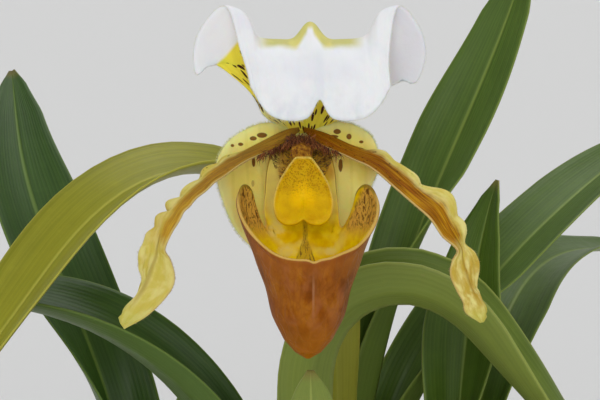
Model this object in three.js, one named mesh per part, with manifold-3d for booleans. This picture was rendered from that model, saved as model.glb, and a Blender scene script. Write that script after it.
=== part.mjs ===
// A slipper orchid in a terracotta pot, in millimetres, +Z up.
// The origin is the centre of the pot's flat bottom, and the flower faces -Y.
import * as THREE from 'three';
import { mergeVertices } from 'three/addons/utils/BufferGeometryUtils.js';
import Module from 'manifold-3d';

const wasm = await Module();
wasm.setup();

const CLEARANCE = 0.3;
const DEGREE = Math.PI / 180;

// Pot and potting mix
const POT_HEIGHT = 115;
const POT_FOOT_RADIUS = 43;
const POT_TOP_RADIUS = 60;
const POT_RIM_RADIUS = 65;
const POT_RIM_HEIGHT = 24;
const POT_WALL = 5;
const POT_FLOOR = 8;
const POT_EDGE = 2;
const POT_STEP = 4;
const POT_SIDES = 40;
const DRAIN_RADIUS = 4.5;
const DRAIN_CIRCLE = 22;
const DRAIN_COUNT = 4;
const MIX_TOP = 100;
const MIX_DOME = 2;
const MIX_GAP = 0.4;
const MIX_EDGE = 4;
const CHIP_COUNT = 46;
const CHIP_SIZE = 14;
const CHIP_THICKNESS = 0.42;
const CHIP_SEED = 7;
const GOLDEN_ANGLE = 2.39996;

// Growths: each is a fan of leaves that clasp one another at the base
const LEAF_FOOT = 92;
const LEAF_THICKNESS = 1.1;
const LEAF_STATIONS = 13;
const LEAF_COLUMNS = 4;
const NEST_STEP = 1.6;
const HOLE_MARGIN = 0.5;
const HOLE_DEPTH = 40;

// Flower: the junction of its petals, and how far its face looks up
const FLOWER = new THREE.Vector3(0, -30, 285);
const FLOWER_TILT = 14 * DEGREE;
const SCAPE_RADIUS = 2.2;
const SCAPE_TOP = 247;
const SCAPE_TOP_Y = 7;
const SCAPE_TAPER = 0.4;
const OVARY_RIBS = 0.08;
const BLADE = 0.9;

// Bract: a short folded leaf that clasps the scape's top from behind
const BRACT_LENGTH = 34;
const BRACT_THICKNESS = 0.7;
const BRACT_BELOW = 8;
const BRACT_BOW = 0.17;
const BRACT_LEAN = 0.5;
const BRACT_SHIFT = 1.5;
const BRACT_WRAP = 2.3;

// Colours
const TERRACOTTA = { color: 0xb5623c, roughness: 0.85 };
const BARK = { color: 0x4a3324, roughness: 0.95 };
const LEAF_GREEN = { color: 0x4f7030, roughness: 0.45 };
const STEM_GREEN = { color: 0x5a6b35, roughness: 0.7 };
const WHITE_PETAL = { color: 0xf2f2f4, roughness: 0.5 };
const PALE_YELLOW = { color: 0xd8d27a, roughness: 0.5 };
const BROWN_PETAL = { color: 0xa9702a, roughness: 0.45 };
const POUCH_BROWN = { color: 0xa8561a, roughness: 0.3 };
const SHIELD_YELLOW = { color: 0xe0b423, roughness: 0.4 };
const COLUMN_BROWN = { color: 0x9c6a24, roughness: 0.5 };

// The same small random numbers on every run
function seeded(seed) {
  let state = seed;
  return () => {
    state = (state * 16807) % 2147483647;
    return state / 2147483647;
  };
}

function smooth(low, high, value) {
  return THREE.MathUtils.smoothstep(value, low, high);
}

function bell(value, centre, width) {
  return Math.exp(-(((value - centre) / width) ** 2));
}

// A smooth curve of numbers through [place, value] pairs
function graded(pairs) {
  const curve = new THREE.CatmullRomCurve3(
    pairs.map(([place, value]) => new THREE.Vector3(place, value, 0)), false, 'catmullrom');
  const last = pairs.length - 1;
  return (place) => {
    let index = 0;
    while (index < last - 1 && place > pairs[index + 1][0]) index += 1;
    const span = pairs[index + 1][0] - pairs[index][0];
    const part = THREE.MathUtils.clamp((place - pairs[index][0]) / span, 0, 1);
    return curve.getPoint((index + part) / last).y;
  };
}

function smoothCurve(points) {
  const vectors = points.map(([x, y, z]) => new THREE.Vector3(x, y, z));
  return new THREE.CatmullRomCurve3(vectors, false, 'catmullrom');
}

function closedGeometry(vertices, faces) {
  const geometry = new THREE.BufferGeometry();
  const numbers = vertices.flatMap((vertex) => vertex.toArray());
  geometry.setAttribute('position', new THREE.Float32BufferAttribute(numbers, 3));
  geometry.setIndex(faces.flat());
  return geometry;
}

// A blade of even thickness: point(along, across) gives its middle surface, both from 0 to 1.
// A wrapped blade closes on itself across. A pole closes its far end in one point.
function blade(rows, columns, point, thickness, { wrap = false, pole = false } = {}) {
  const across = wrap ? columns : columns + 1;
  const along = pole ? rows : rows + 1;
  const step = 1e-3;
  const middle = (i, j) => point(i / rows, j / columns);
  const normal = (i, j) => {
    const u = i / rows;
    const v = j / columns;
    const u0 = Math.max(u - step, 0);
    const u1 = Math.min(u + step, pole ? 1 - step : 1);
    const v0 = wrap ? v - step : Math.max(v - step, 0);
    const v1 = wrap ? v + step : Math.min(v + step, 1);
    const du = point(u1, v).sub(point(u0, v));
    const dv = point(u, v1).sub(point(u, v0));
    return du.cross(dv).normalize();
  };
  const vertices = [];
  const half = thickness / 2;
  for (const side of [1, -1]) {
    for (let i = 0; i < along; i += 1) {
      for (let j = 0; j < across; j += 1) {
        vertices.push(middle(i, j).addScaledVector(normal(i, j), side * half));
      }
    }
  }
  const layer = along * across;
  if (pole) {
    const end = point(1, 0);
    const inward = end.clone().sub(point(1 - 0.05, 0)).add(end).sub(point(1 - 0.05, 0.5)).normalize();
    vertices.push(end.clone().addScaledVector(inward, half));
    vertices.push(end.clone().addScaledVector(inward, -half));
  }
  const at = (side, i, j) => (side ? layer : 0) + i * across + (wrap ? j % across : j);
  const faces = [];
  for (const side of [0, 1]) {
    const add = (a, b, c) => faces.push(side ? [a, c, b] : [a, b, c]);
    for (let i = 0; i < along - 1; i += 1) {
      for (let j = 0; j < columns; j += 1) {
        add(at(side, i, j), at(side, i + 1, j), at(side, i + 1, j + 1));
        add(at(side, i, j), at(side, i + 1, j + 1), at(side, i, j + 1));
      }
    }
    if (pole) {
      for (let j = 0; j < columns; j += 1) {
        add(at(side, along - 1, j), 2 * layer + side, at(side, along - 1, j + 1));
      }
    }
  }
  const strip = (a0, a1, b0, b1) => {
    faces.push([a0, a1, b1]);
    faces.push([a0, b1, b0]);
  };
  for (let j = 0; j < columns; j += 1) {
    strip(at(0, 0, j), at(0, 0, j + 1), at(1, 0, j), at(1, 0, j + 1));
    if (!pole) strip(at(0, rows, j + 1), at(0, rows, j), at(1, rows, j + 1), at(1, rows, j));
  }
  if (!wrap) {
    for (let i = 0; i < along - 1; i += 1) {
      strip(at(0, i + 1, 0), at(0, i, 0), at(1, i + 1, 0), at(1, i, 0));
      strip(at(0, i, columns), at(0, i + 1, columns), at(1, i, columns), at(1, i + 1, columns));
    }
  }
  return closedGeometry(vertices, faces);
}

// A round stem along a curve, with its radius at each place from 0 to 1, and flat ends
function stem(curve, radiusAt, stations, sides, ribs = 0) {
  const frames = curve.computeFrenetFrames(stations, false);
  const vertices = [];
  for (let i = 0; i <= stations; i += 1) {
    const centre = curve.getPointAt(i / stations);
    for (let k = 0; k < sides; k += 1) {
      const angle = (k / sides) * 2 * Math.PI;
      const radius = radiusAt(i / stations) * (1 + ribs * Math.cos(3 * angle));
      vertices.push(centre.clone()
        .addScaledVector(frames.normals[i], radius * Math.cos(angle))
        .addScaledVector(frames.binormals[i], radius * Math.sin(angle)));
    }
  }
  vertices.push(curve.getPointAt(0), curve.getPointAt(1));
  const foot = vertices.length - 2;
  const head = vertices.length - 1;
  const faces = [];
  for (let k = 0; k < sides; k += 1) {
    const next = (k + 1) % sides;
    for (let i = 0; i < stations; i += 1) {
      const low = i * sides;
      const high = low + sides;
      faces.push([low + k, low + next, high + next]);
      faces.push([low + k, high + next, high + k]);
    }
    faces.push([foot, next, k]);
    faces.push([head, stations * sides + k, stations * sides + next]);
  }
  return closedGeometry(vertices, faces);
}

function toSolid(geometry) {
  const bare = geometry.clone();
  bare.deleteAttribute('normal');
  bare.deleteAttribute('uv');
  const merged = mergeVertices(bare, 1e-4);
  return new wasm.Manifold(new wasm.Mesh({
    numProp: 3,
    vertProperties: new Float32Array(merged.attributes.position.array),
    triVerts: new Uint32Array(merged.index.array),
  }));
}

function fromSolid(solid) {
  const mesh = solid.getMesh();
  const geometry = new THREE.BufferGeometry();
  geometry.setAttribute('position', new THREE.BufferAttribute(new Float32Array(mesh.vertProperties), 3));
  geometry.setIndex(new THREE.BufferAttribute(new Uint32Array(mesh.triVerts), 1));
  return geometry;
}

function largestBody(solid) {
  const bodies = solid.decompose();
  return bodies.reduce((best, body) => (body.volume() > best.volume() ? body : best));
}

function named(name, geometry, finish) {
  const mesh = new THREE.Mesh(geometry, new THREE.MeshStandardMaterial({ metalness: 0, ...finish }));
  mesh.name = name;
  return mesh;
}

// Growths: where each fan of leaves stands, the direction its right side faces, in degrees,
// and half the thickness of its core. The main one carries the scape.
const MAIN_CORE = SCAPE_RADIUS + CLEARANCE + LEAF_THICKNESS / 2 + 0.2;
const GROWTHS = [
  { name: 'main', x: -3, y: 6, fan: -4, core: MAIN_CORE, flowering: true },
  { name: 'back', x: 10, y: 42, fan: 30, core: 1 },
  { name: 'right', x: 37.5, y: 26.5, fan: 68, core: 1 },
  { name: 'left', x: -38, y: 28, fan: 140, core: 1 },
  { name: 'young', x: 3, y: -21, fan: 85, core: 1 },
];

// Leaves of each growth, from the innermost out, on the fan's two sides.
// bend is the lean at the tip in degrees from upright, which the leaf takes between
// the parts start and end of its length. turn swings it round from the fan's direction.
const LEAVES = [
  { growth: 0, side: -1, length: 105, width: 20, bend: 6, start: 0.3, end: 1, turn: 0 },
  { growth: 0, side: 1, length: 272, width: 30, bend: 138, start: 0.42, end: 0.64, turn: 3 },
  { growth: 0, side: -1, length: 280, width: 28, bend: 108, start: 0.16, end: 0.8, turn: -34 },
  { growth: 0, side: 1, length: 215, width: 28, bend: 128, start: 0, end: 0.8, turn: -66 },
  { growth: 0, side: -1, length: 215, width: 27, bend: 125, start: 0, end: 0.8, turn: 32 },
  { growth: 1, side: 1, length: 240, width: 29, bend: 40, start: 0.1, end: 1, turn: 32 },
  { growth: 1, side: -1, length: 100, width: 20, bend: 2, start: 0.3, end: 1, turn: 0 },
  { growth: 1, side: 1, length: 240, width: 28, bend: 85, start: 0.03, end: 1, turn: 24 },
  { growth: 1, side: -1, length: 322, width: 30, bend: 137, start: 0.36, end: 0.74, turn: 6 },
  { growth: 1, side: 1, length: 165, width: 26, bend: 112, start: 0, end: 0.85, turn: 62 },
  { growth: 2, side: -1, length: 90, width: 20, bend: 4, start: 0.3, end: 1, turn: 0 },
  { growth: 2, side: 1, length: 165, width: 27, bend: 20, start: 0.1, end: 1, turn: -35 },
  { growth: 2, side: -1, length: 112, width: 24, bend: 8, start: 0.2, end: 1, turn: 0 },
  { growth: 2, side: 1, length: 250, width: 28, bend: 102, start: 0.03, end: 0.85, turn: -12 },
  { growth: 3, side: 1, length: 80, width: 20, bend: 4, start: 0.3, end: 1, turn: 0 },
  { growth: 3, side: -1, length: 124, width: 23, bend: 10, start: 0.2, end: 1, turn: 0 },
  { growth: 3, side: 1, length: 222, width: 29, bend: 62, start: 0.08, end: 1, turn: -38 },
  { growth: 3, side: -1, length: 58, width: 22, bend: 14, start: 0.1, end: 1, turn: 0 },
  { growth: 4, side: 1, length: 70, width: 18, bend: 4, start: 0.3, end: 1, turn: 0 },
  { growth: 4, side: -1, length: 142, width: 26, bend: 12, start: 0.1, end: 1, turn: 0 },
];
const LEAF_FORM = graded([
  [0, 0.4], [0.2, 0.45], [0.5, 0.5], [0.75, 0.45], [0.9, 0.28], [0.97, 0.13], [1, 0.03],
]);
const LEAF_STEPS = 60;
const FAN_DEPTH = 4.5;
const FOOT_KEEL = 45 * DEGREE;
const FOOT_ARM = 90 * DEGREE;
const BLADE_KEEL = 16 * DEGREE;
const BLADE_ARM = 26 * DEGREE;
const FREE_FROM = 6;
const FREE_TO = 19;
const FREE_RATE = 0.07;
const SWING_SPAN = 0.45;
const ARM_GAP = 0.7;
const CLASP_SPARE = 2;
const TAPER_FROM = 0.7;
const KEEL_SHARE_FOOT = 0.85;
const KEEL_SHARE_OPEN = 0.5;

// Half the thickness of a fan up to one of its leaves
function nestOf(growth, rank) {
  return growth.core + rank * NEST_STEP;
}

// The way a leaf's midrib rises and leans out from its foot, step by step
function risingLine(leaf) {
  const stride = leaf.length / LEAF_STEPS;
  const line = [];
  let height = LEAF_FOOT;
  let away = 0;
  for (let i = 0; i <= LEAF_STEPS; i += 1) {
    const lean = leaf.bend * DEGREE * smooth(leaf.start, leaf.end, i / LEAF_STEPS);
    line.push({ height, away, lean });
    height += Math.cos(lean) * stride;
    away += Math.sin(lean) * stride;
  }
  return line;
}

// How clear a leaf stands, at one step of its length, of the other leaves of its growth and the scape
function clearOf(leaf, step) {
  const gaps = LEAVES.filter((other) => other !== leaf && other.growth === leaf.growth).map((other) => {
    const level = risingLine(other).find((station) => station.height >= step.height);
    if (!level) return Infinity;
    return other.side === leaf.side ? Math.abs(level.away - step.away) : level.away + step.away;
  });
  if (GROWTHS[leaf.growth].flowering) gaps.push(step.away);
  return Math.min(...gaps, Number.MAX_VALUE);
}

// The middle surface of one leaf. At its foot it is folded flat round the leaves inside it,
// and it widens and opens to a shallow fold along the midrib once it is clear of them.
function leafSurface(leaf, rank) {
  const growth = GROWTHS[leaf.growth];
  const nest = nestOf(growth, rank);
  const footKeel = nest * Math.SQRT2;
  const footArm = 2 * FAN_DEPTH + NEST_STEP - LEAF_THICKNESS * Math.SQRT2 - ARM_GAP;
  const stride = leaf.length / LEAF_STEPS;
  const place = new THREE.Vector3(growth.x, growth.y, LEAF_FOOT);
  let free = 0;
  let swing = 0;
  const midrib = risingLine(leaf).map((step, index) => {
    free = Math.max(free, Math.min(free + FREE_RATE, smooth(FREE_FROM, FREE_TO, clearOf(leaf, step))));
    swing += free / (LEAF_STEPS * SWING_SPAN);
    const heading = (growth.fan + (leaf.side > 0 ? 0 : 180) + leaf.turn * smooth(0, 1, swing)) * DEGREE;
    const outward = new THREE.Vector3(Math.cos(heading), Math.sin(heading), 0);
    if (index === 0) place.addScaledVector(outward, nest + FAN_DEPTH);
    const station = { place: place.clone(), lean: step.lean, outward, free };
    place.addScaledVector(outward, Math.sin(step.lean) * stride);
    place.z += Math.cos(step.lean) * stride;
    return station;
  });
  return (along, across) => {
    const position = Math.min(along * LEAF_STEPS, LEAF_STEPS - 1e-6);
    const low = midrib[Math.floor(position)];
    const high = midrib[Math.floor(position) + 1];
    const part = position - Math.floor(position);
    const between = (key) => THREE.MathUtils.lerp(low[key], high[key], part);
    const lean = between('lean');
    const opened = between('free');
    const outward = low.outward.clone().lerp(high.outward, part).normalize();
    const sideways = new THREE.Vector3(-outward.y, outward.x, 0);
    const up = new THREE.Vector3(0, 0, Math.sin(lean)).addScaledVector(outward, -Math.cos(lean));
    const widest = LEAF_FORM(along) * leaf.width;
    const taper = 1 - smooth(TAPER_FROM, 1, along);
    const clasped = Math.max(Math.min(footKeel + footArm, widest), (footKeel + CLASP_SPARE) * taper);
    const reach = THREE.MathUtils.lerp(clasped, widest, opened);
    const closedKeel = Math.min(footKeel, KEEL_SHARE_FOOT * reach);
    const keel = THREE.MathUtils.lerp(closedKeel, KEEL_SHARE_OPEN * reach, opened);
    const keelFold = THREE.MathUtils.lerp(FOOT_KEEL, BLADE_KEEL, opened);
    const armFold = THREE.MathUtils.lerp(FOOT_ARM, BLADE_ARM, opened);
    const edge = Math.abs(across * 2 - 1);
    const onKeel = Math.min(2 * edge, 1) * keel;
    const onArm = Math.max(2 * edge - 1, 0) * (reach - keel);
    const aside = onKeel * Math.cos(keelFold) + onArm * Math.cos(armFold);
    return low.place.clone().lerp(high.place, part)
      .addScaledVector(sideways, Math.sign(across - 0.5) * aside)
      .addScaledVector(up, onKeel * Math.sin(keelFold) + onArm * Math.sin(armFold));
  };
}

function leafRank(index) {
  return LEAVES.slice(0, index).filter((other) => other.growth === LEAVES[index].growth).length;
}

function makeLeaves() {
  return LEAVES.map((leaf, index) => {
    const rank = leafRank(index);
    const surface = leafSurface(leaf, rank);
    const geometry = blade(LEAF_STATIONS, LEAF_COLUMNS, surface, LEAF_THICKNESS);
    return named(`leaf_${GROWTHS[leaf.growth].name}_${rank + 1}`, geometry, LEAF_GREEN);
  });
}

function makePot() {
  const ledge = POT_HEIGHT - POT_RIM_HEIGHT;
  const outline = [
    [0, 0], [POT_FOOT_RADIUS - POT_EDGE, 0], [POT_FOOT_RADIUS, POT_EDGE],
    [POT_TOP_RADIUS, ledge], [POT_RIM_RADIUS - POT_EDGE, ledge], [POT_RIM_RADIUS, ledge + POT_EDGE],
    [POT_RIM_RADIUS, POT_HEIGHT - POT_EDGE], [POT_RIM_RADIUS - POT_EDGE, POT_HEIGHT],
    [POT_RIM_RADIUS - POT_WALL, POT_HEIGHT], [POT_TOP_RADIUS - POT_WALL + 1, ledge - POT_STEP],
    [POT_FOOT_RADIUS - POT_WALL + 1, POT_FLOOR + 3],
    [POT_FOOT_RADIUS - POT_WALL - 2, POT_FLOOR], [0, POT_FLOOR],
  ];
  const body = new THREE.LatheGeometry(outline.map(([r, z]) => new THREE.Vector2(r, z)), POT_SIDES);
  body.rotateX(Math.PI / 2);
  let solid = toSolid(body);
  for (let i = 0; i < DRAIN_COUNT; i += 1) {
    const angle = ((i + 0.5) / DRAIN_COUNT) * 2 * Math.PI;
    const drain = new THREE.CylinderGeometry(DRAIN_RADIUS, DRAIN_RADIUS, 3 * POT_FLOOR, 12);
    drain.rotateX(Math.PI / 2);
    drain.translate(DRAIN_CIRCLE * Math.cos(angle), DRAIN_CIRCLE * Math.sin(angle), 0);
    solid = solid.subtract(toSolid(drain));
  }
  return named('pot', fromSolid(solid), TERRACOTTA);
}

// The radius of the pot's inside at a height
function potInside(z) {
  const bend = POT_HEIGHT - POT_RIM_HEIGHT - POT_STEP;
  const low = POT_FOOT_RADIUS - POT_WALL + 1;
  const high = POT_TOP_RADIUS - POT_WALL + 1;
  if (z > bend) return THREE.MathUtils.mapLinear(z, bend, POT_HEIGHT, high, POT_RIM_RADIUS - POT_WALL);
  return THREE.MathUtils.mapLinear(z, POT_FLOOR + 3, bend, low, high);
}

// Half the length and half the thickness that a growth's leaves fill at the foot, widened by a margin
function growthSize(growth, margin) {
  const leaves = LEAVES.filter((leaf) => GROWTHS[leaf.growth] === growth).length;
  const thick = nestOf(growth, leaves - 1) + LEAF_THICKNESS / 2 + margin;
  return [thick + FAN_DEPTH, thick];
}

// A hole that leaves the same margin all round a growth's folded leaves
function growthHole(growth) {
  const [long, thick] = growthSize(growth, HOLE_MARGIN);
  const side = long - thick;
  const outline = [[long, 0], [side, thick], [-side, thick], [-long, 0], [-side, -thick], [side, -thick]];
  const shape = new THREE.Shape(outline.map(([x, y]) => new THREE.Vector2(x, y)));
  const hole = new THREE.ExtrudeGeometry(shape, { depth: HOLE_DEPTH, bevelEnabled: false });
  hole.rotateZ(growth.fan * DEGREE);
  hole.translate(growth.x, growth.y, LEAF_FOOT - CLEARANCE);
  return hole;
}

// A box of bark with its corners pushed about
function chipShape(random) {
  const box = new THREE.BoxGeometry(1, 1, 1);
  box.deleteAttribute('normal');
  box.deleteAttribute('uv');
  const chip = mergeVertices(box);
  const position = chip.attributes.position;
  const pushed = (value) => value * (0.75 + 0.5 * random());
  for (let i = 0; i < position.count; i += 1) {
    position.setXYZ(i, pushed(position.getX(i)), pushed(position.getY(i)), pushed(position.getZ(i)));
  }
  return chip;
}

function makeMix() {
  const bottom = POT_FLOOR + CLEARANCE;
  const bend = POT_HEIGHT - POT_RIM_HEIGHT - POT_STEP;
  const outline = [
    [0, bottom], [potInside(bottom + 3) - MIX_EDGE, bottom],
    [potInside(bottom + MIX_EDGE) - MIX_GAP, bottom + MIX_EDGE],
    [potInside(bend) - MIX_GAP, bend], [potInside(MIX_TOP) - MIX_GAP, MIX_TOP - 1],
    [potInside(MIX_TOP) - MIX_EDGE, MIX_TOP], [30, MIX_TOP + MIX_DOME * 0.7], [0, MIX_TOP + MIX_DOME],
  ];
  const body = new THREE.LatheGeometry(outline.map(([r, z]) => new THREE.Vector2(r, z)), POT_SIDES);
  body.rotateX(Math.PI / 2);
  let solid = toSolid(body);
  const random = seeded(CHIP_SEED);
  for (let i = 0; i < CHIP_COUNT; i += 1) {
    const radius = (potInside(MIX_TOP) - CHIP_SIZE * 0.78) * Math.sqrt((i + 0.5) / CHIP_COUNT);
    const angle = i * GOLDEN_ANGLE + 0.3 * random();
    const x = radius * Math.cos(angle);
    const y = radius * Math.sin(angle);
    const size = CHIP_SIZE * (0.7 + 0.5 * random());
    const chip = chipShape(random);
    chip.scale(size, size * (0.45 + 0.35 * random()), size * CHIP_THICKNESS);
    chip.rotateX((random() - 0.5) * 0.7);
    chip.rotateY((random() - 0.5) * 0.5);
    chip.rotateZ(random() * Math.PI);
    chip.translate(x, y, MIX_TOP + MIX_DOME * (1 - radius / 60) + 0.6 * random());
    const crowded = GROWTHS.some((growth) =>
      Math.hypot(x - growth.x, y - growth.y) < growthSize(growth, CHIP_SIZE * 0.5)[0]);
    if (!crowded) solid = solid.add(toSolid(chip));
  }
  for (const growth of GROWTHS) solid = solid.subtract(toSolid(growthHole(growth)));
  return named('potting_mix', fromSolid(largestBody(solid)), BARK);
}

function makeScape() {
  const growth = GROWTHS[0];
  const curve = smoothCurve([
    [growth.x, growth.y, LEAF_FOOT], [growth.x, growth.y, 125], [growth.x + 0.4, growth.y + 0.2, 170],
    [-1.2, SCAPE_TOP_Y - 0.5, 215], [0, SCAPE_TOP_Y, SCAPE_TOP],
  ]);
  const radius = (place) => SCAPE_RADIUS - SCAPE_TAPER * place;
  return named('scape', stem(curve, radius, 12, 8), STEM_GREEN);
}

function makeOvary() {
  const y = SCAPE_TOP_Y;
  const curve = smoothCurve([
    [0, y, SCAPE_TOP + CLEARANCE], [0, y - 0.6, SCAPE_TOP + 10], [-0.1, y - 6, SCAPE_TOP + 21],
    [-0.2, y - 15, SCAPE_TOP + 28.3], [-0.3, -19.5, SCAPE_TOP + 33.2], [-0.3, FLOWER.y + 3.8, FLOWER.z - 2.1],
  ]);
  const radius = graded([[0, 1.7], [0.2, 1.6], [0.45, 2.3], [0.75, 2.5], [0.92, 2.2], [1, 2.5]]);
  return named('ovary', stem(curve, radius, 12, 9, OVARY_RIBS), STEM_GREEN);
}

function makeBract() {
  const clasp = SCAPE_RADIUS + CLEARANCE + BRACT_THICKNESS / 2;
  const halfWidth = graded([[0, 4.6], [0.3, 6.2], [0.6, 5.4], [0.85, 3], [1, 0.5]]);
  const surface = (along, across) => {
    const lean = BRACT_LEAN * along * along;
    const turn = (across * 2 - 1) * halfWidth(along) / clasp;
    const angle = THREE.MathUtils.clamp(turn, -BRACT_WRAP, BRACT_WRAP);
    const centreY = SCAPE_TOP_Y + clasp + BRACT_LENGTH * BRACT_BOW * along ** 3;
    return new THREE.Vector3(
      clasp * Math.sin(angle),
      centreY - clasp * (1 - Math.cos(angle)) + BRACT_SHIFT * along,
      SCAPE_TOP - BRACT_BELOW + BRACT_LENGTH * along * Math.cos(lean));
  };
  return named('bract', blade(7, 6, surface, BRACT_THICKNESS), STEM_GREEN);
}

// Flower parts from here on are in the flower's own frame:
// x to the right, y up the flower's face, z out of it, with the junction at the origin.

const HOOD_AXIS = 1.1;
const HOOD_SLANT = 0.2;
const HOOD_NET = [
  [[0, -0.7, -3.4], [1.6, -0.6, -3.4], [3.1, -0.4, -3.4], [4.5, 0.2, -3.2], [6, 1, -3.1]],
  [[0, 4.4, -4.2], [3.4, 4.2, -4.1], [6.2, 4.1, -3.9], [8.7, 4.1, -3.5], [10.9, 4.3, -3]],
  [[0, 10.3, -4.8], [5, 10.3, -4.6], [9.5, 10.6, -4], [14, 11.6, -3], [18.6, 12.9, -1.8]],
  [[0, 15, -4.4], [6, 14.8, -4.2], [11.5, 14.8, -3.4], [18, 14.5, -2], [25, 12.4, -0.3]],
  [[0, 17.6, -2.6], [6.5, 17.3, -2.2], [13, 18.5, -1.6], [19.5, 21, -0.6], [24.8, 20.9, 0.4]],
  [[0, 19.4, 0.8], [6, 19.4, 0.9], [12, 20.2, 1.4], [15, 25.3, 2], [19, 27, 2.2]],
  [[0, 13.5, 6.5], [6, 13.3, 6.5], [11, 14, 6.2], [14, 15.3, 5.7], [16.2, 16.6, 5.1]],
  [[0, 2.4, 10.2], [5.5, 1.5, 10.7], [10, 2.4, 10.5], [13.3, 5.3, 9.6], [15.6, 9, 8.3]],
];
const KEEL_PEAK = 3.9;
const NOTCH_HEIGHT = 3.7;
const LEFT_EAR_RISE = 2.4;
const LEFT_FRONT_INWARD = 1.1;
const RIGHT_EAR_RISE = 1.9;
const RIGHT_EAR_DROP = 3.6;
const RIGHT_EAR_INWARD = 1.6;

// A smooth surface through rows of points
function netSurface(rows) {
  const strings = rows[0].map(
    (_, j) => new THREE.CatmullRomCurve3(rows.map((row) => row[j]), false, 'catmullrom'));
  return (along, across) => {
    const points = strings.map((string) => string.getPoint(along));
    return new THREE.CatmullRomCurve3(points, false, 'catmullrom').getPoint(across);
  };
}

// How far the hood's two folded ears stand off their mirrored net: their lower margins rise
// behind a pointed tip, and the right one hangs lower and closer in
function earShift(along, across) {
  const out = Math.abs(2 * across - 1);
  if (across < 0.5) {
    const tip = bell(along, 0.43, 0.05) * smooth(0.93, 1, out);
    return {
      x: LEFT_FRONT_INWARD * smooth(0.45, 1, out) * smooth(0.8, 1, along),
      y: LEFT_EAR_RISE * bell(along, 0.37, 0.06) * smooth(0.6, 0.85, out) * (1 - tip),
    };
  }
  const rise = RIGHT_EAR_RISE * bell(along, 0.36, 0.05) * smooth(0.8, 1, out);
  const drop = RIGHT_EAR_DROP * bell(along, 0.33, 0.13) * smooth(0.72, 1, out);
  return { x: -RIGHT_EAR_INWARD * smooth(0.8, 1, out) * bell(along, 0.41, 0.07), y: rise - drop };
}

function makeDorsalSepal() {
  const net = netSurface(HOOD_NET.map((row) => {
    const right = row.map(([x, y, z]) => new THREE.Vector3(HOOD_AXIS + HOOD_SLANT * z + x, y, z));
    const left = row.slice(1).map(([x, y, z]) => new THREE.Vector3(HOOD_AXIS + HOOD_SLANT * z - x, y, z));
    return [...left.reverse(), ...right];
  }));
  const surface = (along, across) => {
    const point = net(along, across);
    const shift = earShift(along, across);
    point.x += shift.x;
    point.y += shift.y;
    point.y += KEEL_PEAK * bell(across, 0.5, 0.05) * bell(along, 0.69, 0.1);
    point.y += NOTCH_HEIGHT * bell(across, 0.5, 0.034) * smooth(0.84, 1, along);
    return point;
  };
  return named('dorsal_sepal', blade(19, 20, surface, BLADE), WHITE_PETAL);
}

const SYNSEPAL_CENTRE = [-1.5, -13];
const SYNSEPAL_OUTLINE = [
  [-0.3, -2.5], [3.6, -1.1], [8.6, 1.8], [13.4, -0.2], [15.8, -3.8], [16.3, -8], [14.6, -13], [13, -19],
  [11, -25], [6.5, -32], [0.5, -35.5], [-6, -32], [-11, -27], [-15.1, -22.5], [-17.6, -17.5],
  [-19.3, -11.9], [-19.5, -7], [-16.8, -2.4], [-12.8, 0.3], [-8.6, 1.7], [-4.2, -0.9],
];
const SYNSEPAL_DEPTH = 3.4;
const SYNSEPAL_SWEEP = 3.6;
const SYNSEPAL_CUP = 0.0085;
const SYNSEPAL_SHOULDER = 1.3;

function makeSynsepal() {
  const outline = new THREE.CatmullRomCurve3(
    SYNSEPAL_OUTLINE.map(([x, y]) => new THREE.Vector3(x, y, 0)), true, 'catmullrom');
  const [centreX, centreY] = SYNSEPAL_CENTRE;
  const surface = (along, across) => {
    const edge = outline.getPoint(((across % 1) + 1) % 1);
    const x = THREE.MathUtils.lerp(edge.x, centreX, along);
    const y = THREE.MathUtils.lerp(edge.y, centreY, along);
    const away = Math.abs(x - centreX);
    const shoulder = SYNSEPAL_SHOULDER * smooth(2, 6, away) * smooth(-9, -1, y);
    const depth = SYNSEPAL_DEPTH + SYNSEPAL_SWEEP * smooth(4, 18, -y) + 0.06 * Math.max(0, -y - 18);
    return new THREE.Vector3(x, y, shoulder - depth + SYNSEPAL_CUP * away ** 2);
  };
  return named('synsepal', blade(5, 26, surface, BLADE, { wrap: true, pole: true }), PALE_YELLOW);
}

// Each row of a petal: its lower edge, midrib and upper margin, from the base to the tip
const PETAL_LEFT = [
  [[-1.5, -1.4, -1.4], [-1.4, -0.2, -1.4], [-1.4, 0.9, -1.4]],
  [[-6.4, -4, 1.9], [-5.7, -2.5, 1.3], [-4.8, -0.2, -0.6]],
  [[-12.6, -6.9, 4.6], [-12.7, -5.6, 3.2], [-12.5, -4.2, 0.6]],
  [[-18.3, -10.9, 7.4], [-18.7, -8.9, 5.4], [-19.2, -6.9, 2.4]],
  [[-21.7, -13.7, 8.6], [-22.5, -11.9, 6.4], [-23.1, -10.4, 3.4]],
  [[-24.6, -16.5, 10.2], [-26.3, -15.4, 8], [-28, -14.7, 5]],
  [[-26.8, -19.7, 12.2], [-28.7, -18.4, 9.6], [-30.9, -18.2, 6.8]],
  [[-28.4, -22.8, 13.8], [-30.3, -21.6, 11.4], [-32.6, -21, 9]],
  [[-29.7, -25.8, 14.4], [-31.3, -25.2, 12.6], [-34.2, -23.7, 11]],
  [[-28.6, -27.9, 14], [-31.7, -27.3, 13], [-35.4, -26.8, 13.8]],
  [[-27.6, -31, 14.8], [-32.9, -30.2, 13.4], [-35.2, -29.8, 14.6]],
  [[-27.9, -33.7, 15.2], [-33.9, -33.2, 14], [-34.6, -32.6, 13.6]],
  [[-30, -36.7, 15.6], [-35.5, -36.1, 15], [-35.5, -35.3, 13]],
  [[-33.5, -40, 16], [-37.5, -38.8, 15.8], [-37.5, -38, 14]],
  [[-38.1, -42.6, 16.2], [-39, -41.3, 16.2], [-39.3, -40.1, 16]],
];
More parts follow.
